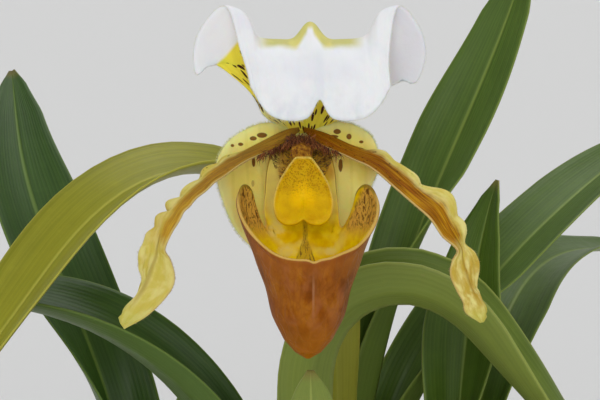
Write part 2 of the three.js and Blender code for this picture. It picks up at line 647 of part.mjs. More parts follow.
const PETAL_RIGHT = [
  [[0.9, -1.4, -1.4], [0.8, -0.2, -1.4], [0.8, 0.9, -1.4]],
  [[3.7, -3.4, 1.9], [4.2, -2, 1.3], [4.8, -0.9, -0.6]],
  [[9.8, -6.3, 4.6], [10.3, -5, 3.2], [11.2, -3.8, 0.6]],
  [[15.1, -9.1, 6.8], [16.1, -7.4, 4.8], [17.5, -5.1, 2]],
  [[19.7, -13.3, 8.6], [21.2, -11.3, 6.4], [23.1, -9.5, 3.4]],
  [[23.3, -16.3, 10.2], [24.9, -14.5, 8], [26.9, -12.6, 5]],
  [[26.3, -19.4, 12.2], [28.5, -17.5, 9.6], [31.3, -15.6, 6.8]],
  [[29, -23, 13.8], [30.9, -21.6, 11.4], [33.9, -19.9, 9]],
  [[32.1, -26, 14.4], [32.9, -25.4, 12.6], [34.1, -24.4, 11]],
  [[31.1, -28.3, 14], [33.5, -28.1, 13], [36.2, -26.8, 13.8]],
  [[30.6, -31.2, 14.8], [34.3, -30.9, 13.4], [36.9, -30, 14.6]],
  [[32, -34.6, 15.2], [35.3, -34.2, 14], [36.4, -33.2, 14]],
  [[33.2, -36.9, 15.6], [36.2, -36.1, 15], [36.7, -35.1, 13.2]],
  [[33.8, -39.2, 16], [37.4, -38.6, 15.8], [38, -37.8, 14.2]],
  [[36.8, -41.3, 16.2], [37.6, -41.1, 16.2], [38.2, -40, 16]],
];
// The notches between the waves of each petal's upper margin, as shares of its length
const NOTCHES_LEFT = [0, 0.07, 0.15, 0.215, 0.29, 0.35, 0.41, 0.5, 0.6, 0.72, 0.86, 1];
const NOTCHES_RIGHT = [0, 0.05, 0.11, 0.17, 0.24, 0.33, 0.475, 0.58, 0.68, 0.8, 0.9, 1];
const WAVE_HEIGHT = 1.8;
const WAVE_MIDDLE = 0.77;
const WAVE_LEAN = 0.77;
const WAVE_SPAN = 0.08;
const NOTCH_ROUND = 0.141;

// How high a wave stands at a place along the margin: round crests between sharp notches
function crestAt(notches, along) {
  let wave = 0;
  while (wave < notches.length - 2 && along > notches[wave + 1]) wave += 1;
  const span = notches[wave + 1] - notches[wave];
  const part = (along - notches[wave]) / span;
  const rise = Math.hypot(Math.sin(Math.PI * part), NOTCH_ROUND) - NOTCH_ROUND;
  return Math.sqrt(span / WAVE_SPAN) * rise;
}

function makePetal(name, rows, notches, side) {
  const net = netSurface(rows.map((row) => {
    const [low, mid, high] = row.map(([x, y, z]) => new THREE.Vector3(x, y, z));
    return [low, low.clone().lerp(mid, 0.5), mid, mid.clone().lerp(high, 0.5), high];
  }));
  const step = 1e-3;
  const surface = (along, across) => {
    const tangent = net(Math.min(along + step, 1), across).sub(net(Math.max(along - step, 0), across));
    const margin = net(along, Math.min(across + step, 1)).sub(net(along, Math.max(across - step, 0)));
    tangent.normalize();
    const face = new THREE.Vector3().crossVectors(margin, tangent).multiplyScalar(side).normalize();
    const spoon = 1 - 0.75 * smooth(0.52, 0.6, along);
    const ends = smooth(0.1, 0.3, along) * (1 - smooth(0.93, 1, along));
    const frill = ends * spoon * smooth(0.45, 1, across) ** 1.3;
    const crest = crestAt(notches, along);
    return net(along, across)
      .addScaledVector(face, -frill * (WAVE_HEIGHT * crest - WAVE_MIDDLE))
      .addScaledVector(tangent, WAVE_LEAN * frill * crest);
  };
  return named(name, blade(44, 4, surface, BLADE), BROWN_PETAL);
}

// The pouch: its half width, front and back at each height, and its rim height round it
const POUCH_AXIS = 0.4;
const POUCH_SLANT = 0.1;
const POUCH_BOTTOM = -49;
const POUCH_HALF_WIDTH = graded([[-49, 0.2], [-47.6, 3], [-45, 5.3], [-40, 7.7], [-34, 9.7],
  [-28, 12.1], [-22, 14.4], [-17, 15], [-12.5, 14.6], [-8, 14.4], [-4, 14.2]]);
const POUCH_FRONT = graded([[-49, 10], [-47.6, 12.4], [-45, 14.4], [-40, 17], [-34, 18.8], [-28, 20],
  [-17, 20], [-8, 17], [-4, 14]]);
const POUCH_BACK = graded([[-49, 9.6], [-47.6, 7.8], [-45, 6], [-40, 4], [-34, 2.3], [-28, 1], [-22, 0],
  [-12.5, -0.8], [-4, -0.8]]);
const POUCH_RIM = [
  [0, -28.4], [20, -27.9], [39, -26.3], [57, -23], [74, -18.8], [89, -15.4], [103, -12.9], [117, -12],
  [129, -13.6], [137, -18], [143, -21], [148, -20], [150, -14.5], [151.5, -8.5], [157, -4.6], [180, -7.1],
];
const CLAW_LEAN = 1.1;

function makePouch() {
  const half = POUCH_RIM.length - 1;
  const wallAt = (angle, height) => {
    const front = POUCH_FRONT(height);
    const back = POUCH_BACK(height);
    const z = (front + back) / 2 + ((front - back) / 2) * Math.cos(angle * DEGREE);
    const x = POUCH_AXIS + POUCH_SLANT * (z - 8) + POUCH_HALF_WIDTH(height) * Math.sin(angle * DEGREE);
    // The left margin of the claw, the part that reaches up the back, stands further out than the right
    const claw = smooth(-24, -17, height) * smooth(134, 146, -angle) * (1 - smooth(155, 178, -angle));
    return new THREE.Vector3(x - CLAW_LEAN * claw, height, z);
  };
  const angleAt = graded(POUCH_RIM.map(([angle], index) => [index, angle]));
  const rimAt = graded(POUCH_RIM.map(([, height], index) => [index, height]));
  const surface = (along, across) => {
    const place = (((across % 1) + 1) % 1) * 2 * half;
    const folded = place <= half ? place : 2 * half - place;
    const angle = (place <= half ? 1 : -1) * angleAt(folded);
    const deep = 1 - (1 - along) ** 1.4;
    const height = THREE.MathUtils.lerp(rimAt(folded), POUCH_BOTTOM, deep);
    return wallAt(angle, height);
  };
  return named('pouch', blade(10, 2 * half, surface, BLADE, { wrap: true, pole: true }), POUCH_BROWN);
}

const SHIELD_CENTRE = [-0.4, -14.4];
const SHIELD_DEPTH = 11.2;
const SHIELD_OUTLINE = [
  [0, 8.2], [1.6, 8.1], [2.7, 6.9], [4, 5], [5.4, 2.5], [6.2, 0], [6.4, -2.6], [5.5, -5.2], [3.7, -6.4],
  [1.4, -6.2], [0, -5.3],
];
const SHIELD_THICKNESS = 1.2;
const SHIELD_DOME = 0.9;
const SHIELD_RIM = 0.5;
const SHIELD_BOSS = 1.1;

function makeStaminode() {
  const left = SHIELD_OUTLINE.slice(1, -1).map(([x, y]) => [-x, y]).reverse();
  const outline = new THREE.CatmullRomCurve3(
    [...SHIELD_OUTLINE, ...left].map(([x, y]) => new THREE.Vector3(x, y, 0)), true, 'catmullrom');
  const [centreX, centreY] = SHIELD_CENTRE;
  const surface = (along, across) => {
    const edge = outline.getPoint(((across % 1) + 1) % 1);
    const out = 1 - along;
    const dome = SHIELD_DOME * (1 - out * out) + SHIELD_BOSS * bell(out, 0, 0.28);
    const rim = SHIELD_RIM * smooth(0.8, 1, out);
    return new THREE.Vector3(centreX + edge.x * out, centreY + edge.y * out, SHIELD_DEPTH + dome + rim);
  };
  const shield = blade(6, 22, surface, SHIELD_THICKNESS, { wrap: true, pole: true });
  return named('staminode', shield, SHIELD_YELLOW);
}

function ball(x, y, z, radiusX, radiusY, radiusZ) {
  const geometry = new THREE.SphereGeometry(1, 9, 6);
  geometry.scale(radiusX, radiusY, radiusZ);
  geometry.translate(x, y, z);
  return toSolid(geometry);
}

// The column with its two anthers beside it and the stigma under it
function makeColumn() {
  const tip = SHIELD_DEPTH - 1.1;
  const curve = smoothCurve([[-0.8, -4.6, -2.6], [-0.8, -4.4, 2], [-0.7, -5.2, 6], [-0.5, -8, tip]]);
  const radius = graded([[0, 2], [0.3, 2.2], [0.7, 2.3], [1, 1.8]]);
  const stigmaNeck = smoothCurve([[-0.6, -5, 4], [-0.5, -8.5, 5.2], [-0.5, -12, 5.6]]);
  const solid = toSolid(stem(curve, radius, 8, 10))
    .add(toSolid(stem(stigmaNeck, () => 1.5, 5, 8)))
    .add(ball(-0.5, -13, 5.8, 3, 3.4, 1.2))
    .add(ball(-1.9, -7.4, 6, 1.2, 1.2, 1.8))
    .add(ball(1, -7.4, 6, 1.2, 1.2, 1.8))
    .add(ball(-0.8, -4.6, 8, 1.6, 1.5, 1.2));
  return named('column', fromSolid(solid), COLUMN_BROWN);
}

const plant = new THREE.Group();
plant.add(makePot(), makeMix(), ...makeLeaves(), makeScape(), makeOvary(), makeBract());

const flower = new THREE.Group();
flower.position.copy(FLOWER);
flower.rotation.x = Math.PI / 2 - FLOWER_TILT;
flower.add(
  makeDorsalSepal(), makeSynsepal(), makePetal('petal_left', PETAL_LEFT, NOTCHES_LEFT, -1),
  makePetal('petal_right', PETAL_RIGHT, NOTCHES_RIGHT, 1), makePouch(), makeStaminode(), makeColumn());
plant.add(flower);

export default plant;
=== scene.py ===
# The looks of a potted slipper orchid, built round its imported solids.
# Shapes are worked out in millimetres, +Z up, and turned to metres as their meshes are made.
# A surface is a function of two places from 0 to 1, along it and across it.
import math
from collections import namedtuple

import bmesh
import bpy
import numpy as np
from mathutils import Matrix, Vector


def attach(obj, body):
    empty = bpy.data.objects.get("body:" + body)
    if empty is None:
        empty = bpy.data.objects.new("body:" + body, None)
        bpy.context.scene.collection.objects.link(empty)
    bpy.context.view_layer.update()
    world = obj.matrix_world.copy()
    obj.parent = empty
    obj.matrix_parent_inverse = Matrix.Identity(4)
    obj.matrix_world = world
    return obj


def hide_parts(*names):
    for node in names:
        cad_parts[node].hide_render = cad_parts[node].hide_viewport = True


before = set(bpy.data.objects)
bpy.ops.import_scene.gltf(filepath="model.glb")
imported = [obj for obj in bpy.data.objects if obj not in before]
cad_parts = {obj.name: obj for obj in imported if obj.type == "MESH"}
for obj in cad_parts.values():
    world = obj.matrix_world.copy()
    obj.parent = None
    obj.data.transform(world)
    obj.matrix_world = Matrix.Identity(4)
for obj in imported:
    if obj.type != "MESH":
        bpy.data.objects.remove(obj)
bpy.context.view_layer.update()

MM = 0.001

# The flower's own frame: x to the right, y up its face, z out of it
FLOWER = np.array([0.0, -30.0, 285.0])
TILT = math.radians(14)
FLOWER_AXES = np.array([
    [1, 0, 0],
    [0, math.sin(TILT), math.cos(TILT)],
    [0, -math.cos(TILT), math.sin(TILT)],
])

# The camera, in the flower's frame
CAMERA_PLACE = np.array([-1.1, -15.4, 367.0])
CAMERA_LENS = 100
CAMERA_SENSOR = 36


def from_flower(points):
    return FLOWER + np.asarray(points, float) @ FLOWER_AXES


def unit(vectors):
    length = np.linalg.norm(vectors, axis=-1, keepdims=True)
    return vectors / np.maximum(length, 1e-9)


def smooth(low, high, value):
    part = np.clip((np.asarray(value, float) - low) / (high - low), 0, 1)
    return part * part * (3 - 2 * part)


def lerp(start, end, part):
    return start + (end - start) * part


def bell(value, centre, width):
    """A soft bump of height 1."""
    return np.exp(-(((np.asarray(value, float) - centre) / width) ** 2))


def rotation(x, y, z):
    """A turn about the x axis, then y, then z, in radians."""
    cx, sx, cy, sy, cz, sz = math.cos(x), math.sin(x), math.cos(y), math.sin(y), math.cos(z), math.sin(z)
    about_x = np.array([[1, 0, 0], [0, cx, -sx], [0, sx, cx]])
    about_y = np.array([[cy, 0, sy], [0, 1, 0], [-sy, 0, cy]])
    about_z = np.array([[cz, -sz, 0], [sz, cz, 0], [0, 0, 1]])
    return about_z @ about_y @ about_x


# Curves and surfaces that pass smoothly through points

def padded(points, closed=False):
    if closed:
        return np.concatenate([points[-1:], points, points[:2]])
    return np.concatenate([2 * points[:1] - points[1:2], points, 2 * points[-1:] - points[-2:-1]])


def basis(count, place, closed=False):
    """Where each place falls among count points, and the weights of the four points around it."""
    spans = count if closed else count - 1
    place = np.asarray(place, float)
    at = (place % 1 if closed else np.clip(place, 0, 1)) * spans
    index = np.minimum(np.floor(at).astype(int), spans - 1)
    t = at - index
    weights = [2 * t**2 - t - t**3, 2 - 5 * t**2 + 3 * t**3, t + 4 * t**2 - 3 * t**3, t**3 - t**2]
    return index, 0.5 * np.stack(weights, -1)


def curve(points, closed=False):
    around = padded(np.array(points, float), closed)

    def at(place):
        index, weights = basis(len(points), place, closed)
        return sum(weights[..., k, None] * around[index + k] for k in range(4))

    return at


def graded(pairs):
    """A smooth value through (place, value) pairs."""
    places = [place for place, _ in pairs]
    values = curve([[value] for _, value in pairs])
    steps = np.linspace(0, 1, len(pairs))
    return lambda place: values(np.interp(place, places, steps))[..., 0]


def net_surface(net):
    net = np.array(net, float)
    rows, columns = net.shape[:2]
    around = np.swapaxes(padded(np.swapaxes(padded(net), 0, 1)), 0, 1)

    def at(along, across):
        i, row_weights = basis(rows, along)
        j, column_weights = basis(columns, across)
        return sum(
            row_weights[..., a, None] * column_weights[..., b, None] * around[i + a, j + b]
            for a in range(4)
            for b in range(4)
        )

    return at


# Meshes

# A blade is this thick at its margin, as a share of its thickness, and gains this with each cell inwards
MARGIN_THICKNESS = 0.35
MARGIN_GAIN = 0.3
# Ribs round a stem
STEM_RIBS = 3
# A hair rises in three steps: its thickness at the foot of each, and how its sway turns there
HAIR_TAPER = (1.0, 0.8, 0.5)
HAIR_SWAY = (1, -1.2, 1.4)
# A hair's root sits this far in from a margin, or this share of the blade's thickness out from its middle
ROOT_DEPTH = 0.1
ROOT_SHARE = 0.4


def keep_vectors(mesh, key, values):
    layer = mesh.attributes.get(key) or mesh.attributes.new(key, "FLOAT_VECTOR", "POINT")
    layer.data.foreach_set("vector", np.asarray(values, np.float32).ravel())


def add_object(name, data):
    item = bpy.data.objects.new(name, data)
    bpy.context.scene.collection.objects.link(item)
    return item


def add_piece(name, points, faces, place, material, replaces=None, slot=None, in_flower=False):
    """Points in millimetres. The mesh keeps, for its material, each point's own place on the surface
    (along, across, side) and its spot in millimetres."""
    spots = np.asarray(points, float)
    world = from_flower(spots) if in_flower else spots
    mesh = bpy.data.meshes.new(name)
    mesh.from_pydata((world * MM).tolist(), [], faces)
    keep_vectors(mesh, "place", place)
    keep_vectors(mesh, "spot", spots)
    mesh.shade_smooth()
    mesh.materials.append(material)
    piece = add_object(name, mesh)
    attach(piece, "root")
    if replaces:
        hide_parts(replaces)
    return piece


class Lot:
    """Small meshes that become one piece."""

    def __init__(self):
        self.points, self.faces, self.places = [], [], []
        self.count = 0

    def add(self, points, faces, place):
        self.points.append(points)
        self.faces.extend([index + self.count for index in face] for face in faces)
        self.places.append(np.tile([place], (len(points), 1)))
        self.count += len(points)

    def piece(self, name, material, **extras):
        points, places = np.concatenate(self.points), np.concatenate(self.places)
        return add_piece(name, points, self.faces, places, material, **extras)


def taken_from(form):
    """The points and faces of a bmesh, which is freed."""
    points = np.array([v.co for v in form.verts])
    faces = [[v.index for v in f.verts] for f in form.faces]
    form.free()
    return points, faces


def grid_normals(points, wrap, pole):
    down = np.gradient(points, axis=0)
    if wrap:
        over = np.roll(points, -1, 1) - np.roll(points, 1, 1)
    else:
        over = np.gradient(points, axis=1)
    normals = unit(np.cross(down, over))
    if pole:
        normals[-1] = unit(normals[-2].mean(axis=0))
    return normals


def sheet(name, point, rows, columns, thickness, material, wrap=False, pole=False, relief=None, **extras):
    """A thin blade with rounded margins. point(along, across) gives its middle surface, both from 0 to 1.
    relief(along, across, side, points) raises either face, in millimetres."""
    count = columns if wrap else columns + 1
    along, across = np.meshgrid(np.linspace(0, 1, rows + 1), np.arange(count) / columns, indexing="ij")
    middle = point(along, across)
    normals = grid_normals(middle, wrap, pole)
    row = np.arange(rows + 1)[:, None] * np.ones(count)
    column = np.arange(count) * np.ones((rows + 1, 1))
    cells = row if pole else np.minimum(row, rows - row)
    if not wrap:
        cells = np.minimum(cells, np.minimum(column, columns - column))
    half = thickness / 2 * np.clip(MARGIN_THICKNESS + MARGIN_GAIN * cells, 0, 1)
    layers, places = [], []
    for side in (1, 0):
        height = half + (relief(along, across, side, middle) if relief else 0)
        layers.append(middle + normals * (height * (1 if side else -1))[..., None])
        mirrored = 1 - np.abs(2 * across - 1) if wrap else across
        places.append(np.stack([along, mirrored, np.full(along.shape, side)], -1))
    size = (rows + 1) * count
    numbers = np.arange(size).reshape(rows + 1, count)
    if wrap:
        numbers = np.concatenate([numbers, numbers[:, :1]], 1)
    if pole:
        numbers[-1] = numbers[-1, 0]
        for layer in layers:
            layer[-1] = layer[-1].mean(axis=0)
    numbers = numbers.tolist()
    faces = []
    for upper, lower in zip(numbers, numbers[1:]):
        for j in range(columns):
            face = [upper[j], lower[j], lower[j + 1], upper[j + 1]]
            if face[1] == face[2]:
                del face[2]
            faces.append(face)
            faces.append([index + size for index in reversed(face)])
    margins = []
    for j in range(columns):
        margins.append((numbers[0][j], numbers[0][j + 1]))
        if not pole:
            margins.append((numbers[-1][j + 1], numbers[-1][j]))
    if not wrap:
        for upper, lower in zip(numbers, numbers[1:]):
            margins += [(lower[0], upper[0]), (upper[-1], lower[-1])]
    faces += [[start, end, end + size, start + size] for start, end in margins]
    points = np.concatenate([layer.reshape(-1, 3) for layer in layers])
    place = np.concatenate([p.reshape(-1, 3) for p in places])
    if pole:
        spare = np.zeros(2 * size, bool)
        spare[size - count + 1:size] = True
        spare[2 * size - count + 1:] = True
        renumber = np.cumsum(~spare) - 1
        faces = [[int(renumber[index]) for index in face] for face in faces]
        points = points[~spare]
        place = place[~spare]
    return add_piece(name, points, faces, place, material, **extras)


def lathe_faces(rings, sides):
    """Faces of a round body: rings of points one above the other, then the points at its foot and head."""
    last = (rings - 1) * sides
    foot, head = rings * sides, rings * sides + 1
    faces = []
    for k in range(sides):
        after = (k + 1) % sides
        for low in range(0, last, sides):
            high = low + sides
            faces.append([low + k, low + after, high + after, high + k])
        faces.append([foot, after, k])
        faces.append([head, last + k, last + after])
    return faces


def tube(name, centre, radius, rows, sides, material, ribs=0.0, lumps=None, **extras):
    """A round stem along centre(place), with radius(place) and closed ends."""
    along = np.linspace(0, 1, rows + 1)
    line = centre(along)
    tangent = unit(np.gradient(line, axis=0))
    first = unit(np.cross(tangent, [1.0, 0.0, 0.0]))
    second = np.cross(first, tangent)
    angle = np.arange(sides) / sides * 2 * math.pi
    thick = radius(along)[:, None] * (1 + ribs * np.cos(STEM_RIBS * angle))
    if lumps:
        thick = thick + lumps(along[:, None], angle)
    around = first[:, None] * np.cos(angle)[:, None] + second[:, None] * np.sin(angle)[:, None]
    points = (line[:, None] + around * thick[..., None]).reshape(-1, 3)
    points = np.concatenate([points, line[:1], line[-1:]])
    place = np.stack(np.meshgrid(along, 1 - np.abs(angle / math.pi - 1), indexing="ij"), -1)
    place = np.concatenate([place.reshape(-1, 2), [[0, 0], [1, 0]]])
    place = np.concatenate([place, np.ones((len(place), 1))], axis=1)
    return add_piece(name, points, lathe_faces(rows + 1, sides), place, material, **extras)


def hairs(name, sets, radius, material, droop=0.0, curl=0.0, random=None, **extras):
    """Fine tapering hairs that droop and curl, as one piece. Each set holds roots, directions and lengths."""
    roots, directions, lengths = (np.concatenate(values) for values in zip(*sets))
    directions = unit(directions)
    side = unit(np.cross(directions, [0.31, 0.87, 0.38]))
    other = np.cross(directions, side)
    lengths = lengths[:, None]
    down = droop * np.array([0.0, -1.0, 0.0])
    sway = random.normal(0, curl, (len(roots), 3)) if curl else 0
    centre = roots
    rings = []
    for step, size in enumerate(HAIR_TAPER):
        for k in range(3):
            angle = k * 2 * math.pi / 3
            rings.append(centre + (side * math.cos(angle) + other * math.sin(angle)) * radius * size)
        heading = unit(directions + down * step / 2 + sway * HAIR_SWAY[step])
        centre = centre + heading * lengths / 3
    points = np.stack([*rings, centre], 1)
    one = []
    for k in range(3):
        after = (k + 1) % 3
        one.append([k, after, 3 + after, 3 + k])
        one.append([3 + k, 3 + after, 6 + after, 6 + k])
        one.append([6 + k, 6 + after, 9])
    count = len(roots)
    faces = [[start + index for index in face] for start in range(0, count * 10, 10) for face in one]
    share = np.tile(np.array([0, 0, 0, 0.33, 0.33, 0.33, 0.67, 0.67, 0.67, 1.0]), count)
    place = np.stack([share, np.repeat(np.linspace(0, 1, count), 10), np.ones(count * 10)], -1)
    return add_piece(name, points.reshape(-1, 3), faces, place, material, **extras)


def margin_hairs(name, centre, inner, length, radius, material, random, spread=0.35, **extras):
    """Hairs that stand out from a margin. centre is on it and inner a little way in."""
    outward = unit(centre - inner)
    roots = centre - outward * ROOT_DEPTH
    directions = outward + random.normal(0, spread, centre.shape)
    lengths = random.uniform(*length, len(centre))
    hairs(name, [(roots, directions, lengths)], radius, material, in_flower=True, **extras)


def inner_face(point, along, across, thickness):
    """Roots just under the inner face of a sheet, and the directions in which that face looks there."""
    step = 1e-3
    down = point(np.minimum(along + step, 1), across) - point(np.maximum(along - step, 0), across)
    over = point(along, across + step) - point(along, across - step)
    normal = -unit(np.cross(down, over))
    return point(along, across) + normal * thickness * ROOT_SHARE, normal


# Materials

def colour(text):
    channels = [int(text[k:k + 2], 16) / 255 for k in (0, 2, 4)]
    linear = [c / 12.92 if c <= 0.04045 else ((c + 0.055) / 1.055) ** 2.4 for c in channels]
    return (*linear, 1.0)


def joined(operation, flipped=False):
    """A method that joins a wire with another value by one operation."""

    def method(self, other=0):
        pair = (other, self) if flipped else (self, other)
        return self.paint.node("Math", dict(enumerate(pair)), operation=operation)

    return method


class Wire:
    """A value in a material's node tree, with plain arithmetic."""

    __add__ = __radd__ = joined("ADD")
    __sub__ = joined("SUBTRACT")
    __rsub__ = joined("SUBTRACT", flipped=True)
    __mul__ = __rmul__ = joined("MULTIPLY")
    most = joined("MAXIMUM")
    least = joined("MINIMUM")
    size = joined("ABSOLUTE")
    wave = joined("SINE")

    def __init__(self, paint, socket):
        self.paint = paint
        self.socket = socket

    def within(self, low, high):
        """Rises smoothly from 0 at low to 1 at high."""
        inputs = {"Value": self, "From Min": low, "From Max": high}
        return self.paint.node("MapRange", inputs, "Result", interpolation_type="SMOOTHSTEP")

    def noise(self, scale, detail=2.0, roughness=0.5, bend=0.0):
        inputs = {
            "Vector": self, "Scale": scale, "Detail": detail, "Roughness": roughness, "Distortion": bend}
        return self.paint.node("TexNoise", inputs, "Fac")

    def cells(self, scale, feature="F1", output="Distance"):
        return self.paint.node("TexVoronoi", {"Vector": self, "Scale": scale}, output, feature=feature)

    def parts(self):
        node = self.paint.node("SeparateXYZ", {0: self}).socket.node
        return [Wire(self.paint, output) for output in node.outputs]


class Paint:
    """One material."""

    def __init__(self, name, **sockets):
        self.material = bpy.data.materials.new(name)
        self.material.use_nodes = True
        self.nodes = self.material.node_tree.nodes
        self.shader = self.nodes["Principled BSDF"]
        for key, value in sockets.items():
            self.shader.inputs[key.replace("_", " ")].default_value = value

    def feed(self, socket, value):
        if isinstance(value, Wire):
            self.material.node_tree.links.new(value.socket, socket)
        else:
            socket.default_value = colour(value) if isinstance(value, str) else value

    def node(self, kind, inputs, output=0, **settings):
        """One output of a new node, once its settings are made and its inputs fed."""
        node = self.nodes.new(f"ShaderNode{kind}")
        for key, value in settings.items():
            setattr(node, key, value)
        for key, value in inputs.items():
            self.feed(node.inputs[key], value)
        return Wire(self, node.outputs[output])

    def vector(self, key):
        return self.node("Attribute", {}, "Vector", attribute_name=key)

    def join(self, *values):
        return self.node("CombineXYZ", dict(enumerate(values)))

    def mix(self, share, first, second):
        return self.node("Mix", {0: share, 6: first, 7: second}, 2, data_type="RGBA")

    def coats(self, base, *coats):
        """Lays each (share, colour) over the base in turn."""
        for share, tint in coats:
            base = self.mix(share, base, tint)
        return base

    def ramp(self, value, *stops):
        wire = self.node("ValToRGB", {0: value}, "Color")
        elements = wire.socket.node.color_ramp.elements
        while len(elements) < len(stops):
            elements.new(0.5)
        for element, (place, text) in zip(elements, stops):
            element.position = place
            element.color = colour(text)
        return wire

    def finish(self, base, roughness, height, depth):
        """depth is how high the relief that height draws is, in millimetres."""
        bump = self.node("Bump", {"Distance": depth * MM, "Height": height}, "Normal")
        for key, value in (("Base Color", base), ("Roughness", roughness), ("Normal", bump)):
            self.feed(self.shader.inputs[key], value)
        return self.material


def spots_mask(x, y, spots, ragged, soft=0.0):
    """1 inside any of the (x, y, half width, half height) ovals, with ragged edges."""
    mask = None
    for centre_x, centre_y, half_x, half_y in spots:
        across = (x - centre_x) * (1 / half_x)
        up = (y - centre_y) * (1 / half_y)
        inside = 1 - (across * across + up * up)
        mask = inside if mask is None else mask.most(inside)
    return (mask + ragged).within(-0.1 - soft, 0.35 + soft)


def leaf_paint(name, dark, light, vein):
    paint = Paint(name, Subsurface_Weight=0.05, Subsurface_Scale=0.002, Specular_IOR_Level=0.3)
    along, across, side = paint.vector("place").parts()
    spot = paint.vector("spot")
    out = (across * 2 - 1).size()
    drift = paint.join(along * 3, across * 1.5, side).noise(2.0, 3)
    lines = (across * 150 + drift * 5).wave()
    fine = (across * 420 + drift * 3).wave()
    cloud = spot.noise(0.03, 4, 0.6)
    mottle = spot.noise(0.35, 3, 0.6)
    streak = paint.join(along * 2.2, across * 16, side * 3).noise(1.6, 4, 0.65)
    scars = spot.noise(0.11, 5, 0.7)
    dots = paint.join(along * 220, across * 26, side).cells(1.0)
    foot = along.within(0.16, 0.02)
    base = paint.coats(
        dark,
        ((cloud * 0.55 + streak * 0.6 - 0.12).within(0.1, 0.9), light),
        (lines.within(0.3, 1.0) * 0.07, vein),
        (fine.within(0.2, 1.0) * 0.04, dark),
        (mottle.within(0.58, 0.72) * 0.16, light),
        (out.within(0.075, 0.02) * 0.55, vein),
        (out.within(0.955, 0.995) * 0.55, vein),
        ((1 - side) * 0.35, vein),
        (foot * 0.5, "93a05a"),
        (foot * dots.within(0.34, 0.2) * 0.7, "4a2130"),
        (along.within(0.975, 1.0) * 0.6, "8d7a3a"),
        (scars.within(0.71, 0.76) * 0.4, "8c8a4a"))
    roughness = 0.36 + mottle * 0.2 + scars.within(0.7, 0.8) * 0.2
    height = lines * 0.1 + fine * 0.03 + mottle * 0.5 - out.within(0.06, 0.0) * 0.8
    return paint.finish(base, roughness, height, 0.12)


def hood_paint():
    """White outside with a yellow fold, green-yellow behind, and yellow with dark dashes inside."""
    paint = Paint("hood", Subsurface_Weight=0.2, Subsurface_Scale=0.002, Specular_IOR_Level=0.2)
    along, across, side = paint.vector("place").parts()
    spot = paint.vector("spot")
    x, y, _ = spot.parts()
    out = (across * 2 - 1).size()
    middle = (x - HOOD_AXIS).size()
    drift = spot.noise(0.16, 3)
    veins = (across * 100 + drift * 6).wave()
    pucker = paint.join(x, y * 0.6, 0.5).noise(0.3, 3, 0.5)
    # Painted shade along a crease right of the hood's middle
    crease_shade = (x - 3.2).size().within(1.6, 0.2) * y.within(4, 8) * y.within(19, 14)
    white = paint.coats(
        "fbfbfd",
        (spot.noise(0.1, 3).within(0.35, 0.7), "f2f2f7"),
        (veins.within(0.75, 1.0) * 0.03, "d4d6cc"),
        # Painted shade of the puckers low on the front
        (pucker.within(0.42, 0.66) * y.within(10, 4) * 0.4, "dfe2ea"),
        # Painted shade along the crease
        (crease_shade * 0.35, "e2e5ec"))
    # The fold is yellow but for the white keel that crosses it
    crest = 19.2 + middle.within(3.4, 0.2) * 3.6 + (drift - 0.5) * 2
    band = (y - crest).within(-2.4, -0.4) * along.within(0.58, 0.64) * middle.within(12.6, 8.5)
    keel = middle.within(1.0, 0.3) * (y - crest).within(0.4, -1.2)
    rear = along.within(0.52, 0.1) * out.within(1.0, 0.4)
    outer = paint.coats(
        white,
        (rear * 0.95, paint.mix(veins.within(0.2, 1.0) * 0.3, "e0dc66", "b9bc4c")),
        (band * (1 - keel) * 0.85, paint.mix(drift.within(0.4, 0.6), "ddd34e", "c6c24c")),
        (out.within(0.06, 0.02) * along.within(0.6, 0.3) * 0.5, "8f8a3c"))
    # Inside, the yellow reaches further up on the left than on the right, where the ear folds over it
    bound = (y - 14.9) + (middle - 20.0) * 1.05 + x.within(0, 4) * 9 + (drift - 0.5) * 2.4
    dashes = paint.join(across * 30 + drift * 1.2, along * 13, 0.3).cells(1.0)
    dotted = dashes.within(0.42, 0.34) * (bound + drift).within(-0.6, -1.8)
    yellow = paint.coats(
        "ffec4a",
        (veins.within(-0.2, 1.0) * 0.25, "e8d840"),
        (x.within(-3, -6) * y.within(8, 4) * 0.6, "f2f0b8"))
    inner = paint.coats(
        white,
        # Painted shade on the inner faces of the ears, darker on the right ear than the left
        (out.within(0.6, 0.9) * 0.6, paint.mix(x.within(-8, 8), "f8f8fb", "dedfe6")),
        (bound.within(0.7, -0.5) * along.within(0.66, 0.6), yellow),
        (dotted * along.within(0.62, 0.55), "45190c"))
    base = paint.mix(side, inner, outer)
    height = pucker * 2.4 * along.within(0.7, 0.95) + veins * 0.08 + spot.noise(0.9, 3, 0.6) * 0.3
    return paint.finish(base, 0.5 + drift * 0.15, height, 0.3)


# Each (x, y, half width, half height) in the flower's frame
SYNSEPAL_SPOTS = [
    (-9.5, -1.1, 1.2, 0.6), (-11.4, -1.8, 0.8, 0.5), (-14.2, -3.1, 0.6, 0.4), (-16.0, -3.4, 0.4, 0.35),
    (7.1, -0.3, 0.85, 0.6), (9.7, -1.4, 0.6, 0.65), (6.2, -1.4, 1.2, 0.4), (12.4, -2.6, 0.5, 0.35),
    (-11.4, -6.9, 0.4, 1.2), (-11.6, -11.7, 0.35, 0.8), (7.9, -7.7, 0.5, 1.5),
]


